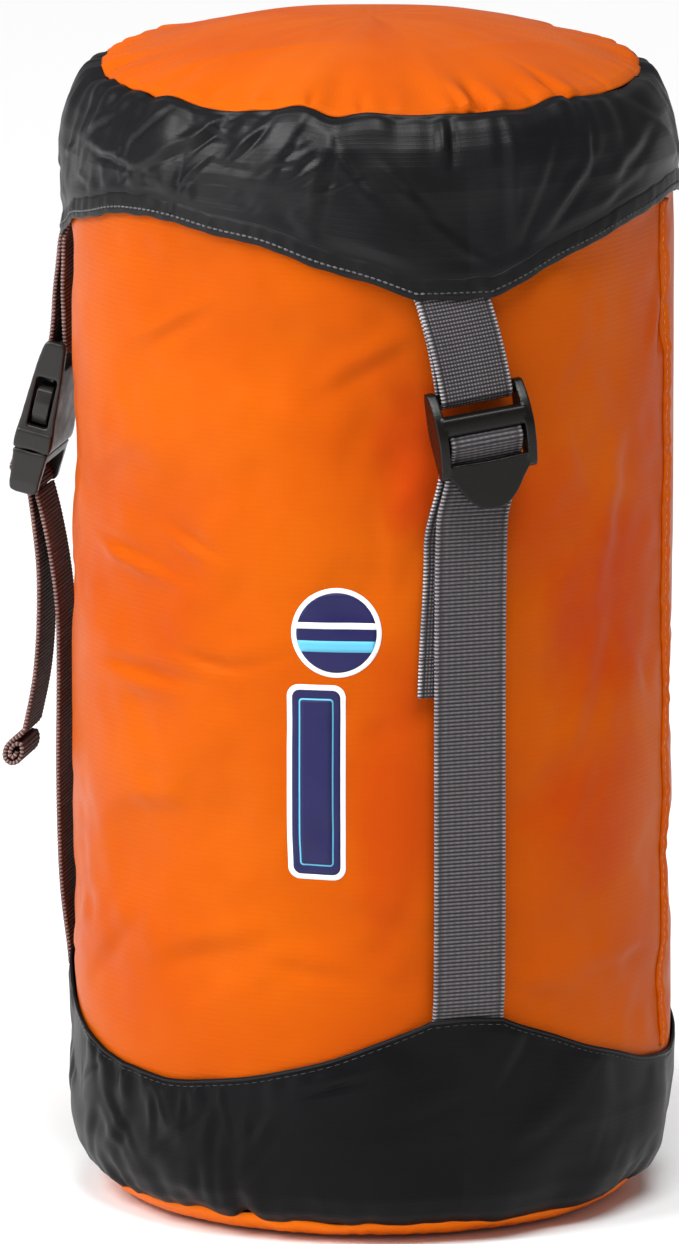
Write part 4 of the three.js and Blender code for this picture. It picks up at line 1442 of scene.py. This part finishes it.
def add_side_strap(side):
    azimuth = STRAPS[side]
    hanger = hung_at(azimuth, SIDE_BAR, 0, "X")
    finish = SIDE_WEBBING_PAINTED_REFLECTION
    loop = strap(f"{side}_loop", loop_path(42.2, 0.8, -2.8), hanger, finish,
                 hug=lambda up: smooth(up, 16, 32))
    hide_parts(f"buckle_loop_{side}")
    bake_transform(loop)

    tilted = hung_at(azimuth, SIDE_BAR, SIDE_TILT, "X")
    wrap = strap(f"{side}_wrap", round_bar(PLUG_BAR, (-3.6, -47.8), (-1.0, -47.8)), tilted, finish, start=0.3)
    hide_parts(f"strap_wrap_{side}")
    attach(wrap, "crown")

    plain = upright(azimuth)
    line = centre_line(f"strap_{side}", azimuth)
    line = np.vstack([line, [SIDE_STRAP_END]])
    standing = strap(f"{side}_strap", line, plain, finish)
    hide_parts(f"strap_{side}")
    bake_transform(standing)

    line = centre_line(f"tail_{side}", azimuth)
    tail = strap(f"{side}_tail", line, plain, finish)
    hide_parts(f"tail_{side}")
    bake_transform(tail)

    down = centre_line(f"tail_end_{side}", azimuth)
    first, last = down[0], down[-1]
    slope = (last - first) / np.linalg.norm(last - first)
    inward = np.array([slope[1], -slope[0]])
    roll = [
        (-0.6, 1.0), (-2.4, 4.4), (-2.9, 7.4), (-1.8, 10.2), (0.6, 11.0), (2.6, 9.2), (2.6, 6.2),
        (1.0, 3.8), (-0.8, 4.7), (-1.3, 7.0), (-0.4, 8.9), (0.8, 8.4), (0.9, 6.6),
    ]
    path = [line[-1]] + [first + inward * aside + slope * below for aside, below in roll]
    end = strap(f"{side}_tail_fold", path, plain, finish, spacing=0.25)
    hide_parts(f"tail_end_{side}")
    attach(end, f"{side}_tail_end")


add_front_strap()
add_side_strap("left")
add_side_strap("right")

# ---------- moulded hardware ----------


def prism(mesh, outline, frame_of):
    """Adds a closed prism to a bmesh: an outline, placed at side 0 and at side 1 by frame_of(point, side)."""
    ends = [[mesh.verts.new(frame_of(p, side)) for p in outline] for side in (0, 1)]
    mesh.faces.new(ends[0][::-1])
    mesh.faces.new(ends[1])
    for i in range(len(outline)):
        j = (i + 1) % len(outline)
        mesh.faces.new((ends[0][i], ends[0][j], ends[1][j], ends[1][i]))


def side_plate(mesh, outline, x0, x1):
    """A side-view outline of (outward, up), spread from x0 to x1 across."""
    prism(mesh, outline, lambda p, side: (x1 if side else x0, -p[0], p[1]))


def front_plate(mesh, outline, out0, out1):
    """A front-view outline of (across, up), pushed from one outward distance to another."""
    prism(mesh, outline, lambda p, side: (p[0], -(out1 if side else out0), p[1]))


def block(mesh, x0, x1, out0, out1, up0, up1):
    side_plate(mesh, [(out0, up0), (out1, up0), (out1, up1), (out0, up1)], x0, x1)


def rod(mesh, out, up, radius, half_length, steps=24):
    turns = [TAU * i / steps for i in range(steps)]
    outline = [(out + radius * math.cos(t), up + radius * math.sin(t)) for t in turns]
    side_plate(mesh, outline, -half_length, half_length)


def curved(points):
    """A closed smooth outline through points."""
    return spline(points, 8, closed=True)


def raw_piece(name, build):
    mesh = bmesh.new()
    build(mesh)
    bmesh.ops.recalc_face_normals(mesh, faces=mesh.faces[:])
    for vertex in mesh.verts:
        vertex.co *= MM
    data = bpy.data.meshes.new(name)
    mesh.to_mesh(data)
    mesh.free()
    return new_object(name, data)


def remesh(thing, voxel):
    modifier = thing.modifiers.new("remesh", "REMESH")
    modifier.mode = "VOXEL"
    modifier.voxel_size = voxel * MM
    return applied(thing)


def soften(thing, rounds):
    """Rounds the edges of a moulding."""
    relax = thing.modifiers.new("round", "SMOOTH")
    relax.factor = 0.5
    relax.iterations = rounds
    applied(thing)


def combine(thing, other, operation, voxel):
    """Joins another solid on to a moulding or cuts it away, and evens out the mesh again."""
    boolean = thing.modifiers.new("combine", "BOOLEAN")
    boolean.operation = operation
    boolean.solver = "EXACT"
    boolean.object = other
    applied(thing)
    bpy.data.objects.remove(other)
    remesh(thing, voxel)


def dress(thing, material):
    thing.data.materials.clear()
    thing.data.materials.append(material)
    thing.data.polygons.foreach_set("use_smooth", np.ones(len(thing.data.polygons), bool))
    thing.data.update()


MOULDED_FACES = 26000


def moulded(name, build, matrix, material, cut=None, voxel=0.36, rounding=5, fine=None):
    """One moulding: overlapping solids fused, cut, its edges rounded as a mould's are, then thinned out."""
    voxel = voxel * 1
    thing = remesh(raw_piece(name, build), voxel)
    if cut is not None:
        combine(thing, remesh(raw_piece(name + "_cut", cut), voxel), "DIFFERENCE", voxel)
    soften(thing, rounding)
    if fine is not None:
        combine(thing, remesh(raw_piece(name + "_ribs", fine), voxel * 0.7), "UNION", voxel)
        soften(thing, 2)
    if len(thing.data.polygons) > MOULDED_FACES:
        thin = thing.modifiers.new("thin", "DECIMATE")
        thin.ratio = MOULDED_FACES / (2 * len(thing.data.polygons))
        applied(thing)
    thing.data.transform(Matrix.Scale(1 / MM, 4))
    thing.data.transform(matrix)
    thing.data.transform(Matrix.Scale(MM, 4))
    dress(thing, material)
    return thing


def add_ladder_lock():
    inner, outer = 13.0, 16.2

    def build(mesh):
        cheek = curved([
            (-2.3, 1.5), (-0.4, 2.3), (2.0, 1.6), (6.4, -3.6), (9.0, -9.5), (9.5, -15), (8.7, -20.5),
            (7.2, -24.6), (4.8, -25.0), (1.8, -20), (-1.7, -12), (-2.6, -4),
        ])
        for side in (-1, 1):
            side_plate(mesh, cheek, *sorted((side * inner, side * outer)))
        rod(mesh, 0, 0, BAR_RADIUS, inner + 1)
        rod(mesh, *FRONT_STRAP_BAR, STRAP_BAR_RADIUS, inner + 1)
        grip = curved([(4.6, -5.2), (6.2, -4.8), (8.0, -5.6), (8.7, -8.6), (8.2, -10.6), (5.2, -9.6)])
        side_plate(mesh, grip, -inner - 1, inner + 1)
        half_tab = [
            (14.4, -20.8), (14.2, -23.4), (12.7, -25.6), (11.0, -28.0), (9.3, -30.8), (7.1, -33.6),
            (4.2, -35.8),
        ]
        tab = curved(half_tab + [(0, -36.6)] + [(-x, up) for x, up in half_tab[::-1]] + [(0, -20.9)])
        front_plate(mesh, tab, 5.2, 7.9)

    matrix = hung_at(0, FRONT_BAR, FRONT_TURN, "Y")
    lock = moulded("front_ladder_lock", build, matrix, PLASTIC, rounding=4, voxel=0.34)
    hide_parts("ladder_lock_front")
    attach(lock, "front_lock")


BUCKLE_HALF = 16.5
SOCKET_MOUTH = -34.0
PLATE_TOP = -34.6
PLUG_BOTTOM = -49.0


def add_side_buckle(side):
    matrix = hung_at(STRAPS[side], SIDE_BAR, SIDE_TILT, "X")
    inner = BUCKLE_HALF - 3.6

    def socket(mesh):
        outline = curved([
            (-3.2, 2.1), (0, 2.6), (3.2, 2.1), (4.4, -3), (5.0, -9), (5.9, -22), (6.3, -33.8),
            (0, SOCKET_MOUTH), (-5.9, -33.8), (-5.4, -22), (-4.6, -9), (-4.0, -3),
        ])
        side_plate(mesh, outline, -BUCKLE_HALF, BUCKLE_HALF)

    def socket_cut(mesh):
        block(mesh, -inner, inner, -9, 9, -6.4, 4)
        block(mesh, -inner, inner, -3.3, 3.5, SOCKET_MOUTH - 2, -10)
        for s in (-1, 1):
            block(mesh, *sorted((s * 9.5, s * 19)), -3.3, 3.5, -26, -9.5)

    def socket_rim(mesh):
        rod(mesh, 0, 0, BAR_RADIUS, inner + 1)
        band = [(-5.9, -33.9), (6.4, -33.9), (6.3, -28.2), (-5.7, -28.2)]
        for s in (-1, 1):
            side_plate(mesh, band, *sorted((s * 15.4, s * 16.9)))

    piece = moulded(f"{side}_socket_shell", socket, matrix, SIDE_PLASTIC, cut=socket_cut, fine=socket_rim)
    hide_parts(f"socket_{side}")
    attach(piece, f"{side}_socket")

    def plug(mesh):
        outline = curved([
            (-5.1, -34.7), (0, PLATE_TOP), (5.9, -34.7), (5.9, -37), (5.2, -44), (4.4, -48.4),
            (0, PLUG_BOTTOM), (-4.2, -48.4), (-4.8, -44), (-5.2, -37),
        ])
        side_plate(mesh, outline, -BUCKLE_HALF, BUCKLE_HALF)

    def plug_cut(mesh):
        block(mesh, -inner, inner, -9, 9, -46.8, -38)
        block(mesh, -inner, inner, -9, 2.2, -52, -46)
        for s in (-1, 1):
            front_plate(mesh, [(s * 17.5, -50), (s * 14.6, -50), (s * 17.5, -43)][:: s], -9, 9)

    def plug_bar(mesh):
        rod(mesh, *PLUG_BAR, STRAP_BAR_RADIUS, inner + 1)

    piece = moulded(f"{side}_plug_frame", plug, matrix, SIDE_PLASTIC, cut=plug_cut, fine=plug_bar)
    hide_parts(f"plug_{side}")
    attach(piece, "crown")

    leg = [
        (7.0, -34.3), (10.0, -34.3), (10.7, -26.5), (14.2, -25.2), (15.9, -22), (16.1, -18), (15.6, -14),
        (13.6, -12.3), (8.4, -12.0),
    ]
    for number, s in ((1, -1), (2, 1)):
        def prong(mesh, s=s):
            front_plate(mesh, [(s * x, up) for x, up in leg][:: s], -2.55, 2.75)

        piece = moulded(f"{side}_finger_{number}", prong, matrix, SIDE_PLASTIC, voxel=0.3)
        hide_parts(f"prong_{side}_{number}")
        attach(piece, f"{side}_prong_{number}")


add_ladder_lock()
add_side_buckle("left")
add_side_buckle("right")

# ---------- the gathered mouth and its drawcord ----------

CORD_HEIGHT = (low("drawcord")[2] + high("drawcord")[2]) / 2
CORD_RADIUS = (high("drawcord")[2] - low("drawcord")[2]) / 2
CORD_RING = high("drawcord_channel")[0] - 3.4


def add_collar():
    profile = [
        (97, 338.4), (95.8, 346), (91, 354.5), (83, 361), (70, 365), (26, 366), (18.3, 368.2), (16.6, 369.2),
    ]

    def place(azimuth, share):
        return along_profile(profile, share)

    def relief(azimuth, radius, height, share):
        pleat = waves(azimuth, 18, 30, 61) * smooth(-radius, -88, -45) * 1.5
        fine = waves(azimuth, 40, 70, 62) * smooth(-radius, -70, -26) * 0.5
        under_lock = smooth(-np.abs(turn_from(azimuth, 180)), -55, -30) * smooth(-radius, -70, -58)
        loose = (pleat + fine) * smooth(radius, 17, 26) * (1 - under_lock)
        uneven = 0.3 * blotches(azimuth, radius, 30, 63)
        return loose + uneven - 1.3 * under_lock * smooth(radius, 17, 24)

    collar = shell("collar_fabric", 90, 300, place, relief, ORANGE)
    thicken(collar)
    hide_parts("mouth_collar")
    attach(collar, "crown")


def ring_tube(name, ring, radius, material, azimuths, ripple, sides=28, steps=260):
    """A tube round the sack's axis between two azimuths; ripple(azimuth, angle) changes its radius."""
    azimuth = np.linspace(*azimuths, steps)
    angle = np.linspace(0, TAU, sides + 1)
    grid_a, grid_t = np.meshgrid(azimuth, angle, indexing="ij")
    size = radius + ripple(grid_a, grid_t)
    points = around(grid_a, ring + size * np.cos(grid_t), CORD_HEIGHT + size * np.sin(grid_t))
    uv = np.stack([np.radians(grid_a) * ring, grid_t * radius], axis=-1)
    piece = grid_piece(name, points, uv, material)
    merge(piece)
    return piece


def add_channel():
    ripple = lambda azimuth, angle: 0.32 * waves(azimuth, 34, 60, 71) * (0.6 + 0.4 * np.cos(angle)) - 0.3
    slot_half = 13.5
    turns = (-180 + slot_half, 180 - slot_half)
    channel = ring_tube("channel_fabric", CORD_RING, 3.3, HEM_BLACK, turns, ripple)
    thicken(channel, 0.4)
    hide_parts("drawcord_channel")
    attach(channel, "crown")


def sweep(name, line, radius, material, sides=12):
    """A round cord along a line of points in mm."""
    return tubes(name, np.asarray(line)[None], radius, material, sides, False)


def add_drawcord():
    azimuth = np.linspace(-174, 174, 150)
    ring = around(azimuth, CORD_RING, CORD_HEIGHT)
    spread = 1.85
    end = high("drawcord")[1]
    entry = [(-spread, CORD_RING + 0.6), (-spread, 30), (-spread, 41), (-spread, 50), (-spread + 0.1, end)]
    out = np.array([(x, y, CORD_HEIGHT) for x, y in entry])
    back = out[::-1] * [-1, 1, 1]
    line = np.vstack([back, ring[::-1], out])
    cord = sweep("cord_run", cord_line(line, 0.8), CORD_RADIUS, CORD)
    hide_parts("drawcord")
    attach(cord, "crown")
    t = np.linspace(0, TAU, 90)
    centre = (low("drawcord_knot") + high("drawcord_knot")) / 2
    trefoil = [np.sin(t) + 2 * np.sin(2 * t), np.cos(t) - 2 * np.cos(2 * t), -1.3 * np.sin(3 * t)]
    knot = sweep("cord_knot", np.stack(trefoil, axis=-1) * 0.86 + centre, 1.35, CORD)
    end_route = [(1.3, 1.5, 0), (1.7, 3.2, 0.3), (2.1, 4.6, 0)]
    ends = [[(s * x, centre[1] + behind, CORD_HEIGHT + up) for x, behind, up in end_route] for s in (-1, 1)]
    tips = tubes("cord_tips", np.array([cord_line(e, 0.4, 12) for e in ends]), 1.3, CORD, 12, False)
    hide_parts("drawcord_knot")
    for one in (knot, tips):
        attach(one, "crown")


def cord_line(points, spacing, count=None):
    """A smooth line through points, at even spacing or in this many points."""
    return evenly(spline(points, 12), spacing, count)[0]


def from_cad(name, node, voxel, rounding, material):
    """A moulding with the CAD part's own shape, its edges rounded as a mould's are."""
    source = frame["nodes"][node]
    thing = new_object(name, source.data.copy())
    remesh(thing, voxel * (1))
    soften(thing, rounding)
    dress(thing, material)
    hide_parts(node)
    return thing


def add_cord_lock():
    barrel = from_cad("lock_barrel", "cord_lock_barrel", 0.2, 3, PLASTIC)
    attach(barrel, "cord_lock")
    button = from_cad("lock_button", "cord_lock_plunger", 0.2, 3, PLASTIC)
    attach(button, "cord_button")
    lowest, highest = low("cord_lock_spring"), high("cord_lock_spring")
    centre = (lowest + highest) / 2
    wire = 0.35
    turns = 3
    length = highest[0] - lowest[0]
    t = np.linspace(0, 1, 160)
    coil = (highest[2] - lowest[2]) / 2 - wire
    x = lowest[0] + wire + (length - 2 * wire) * t
    y = centre[1] + coil * np.cos(TAU * turns * t)
    z = centre[2] + coil * np.sin(TAU * turns * t)
    spring = sweep("lock_spring", np.stack([x, y, z], axis=-1), wire, STEEL, 10)
    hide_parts("cord_lock_spring")
    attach(spring, "cord_lock")
    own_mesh(spring)


add_collar()
add_channel()
add_drawcord()
add_cord_lock()
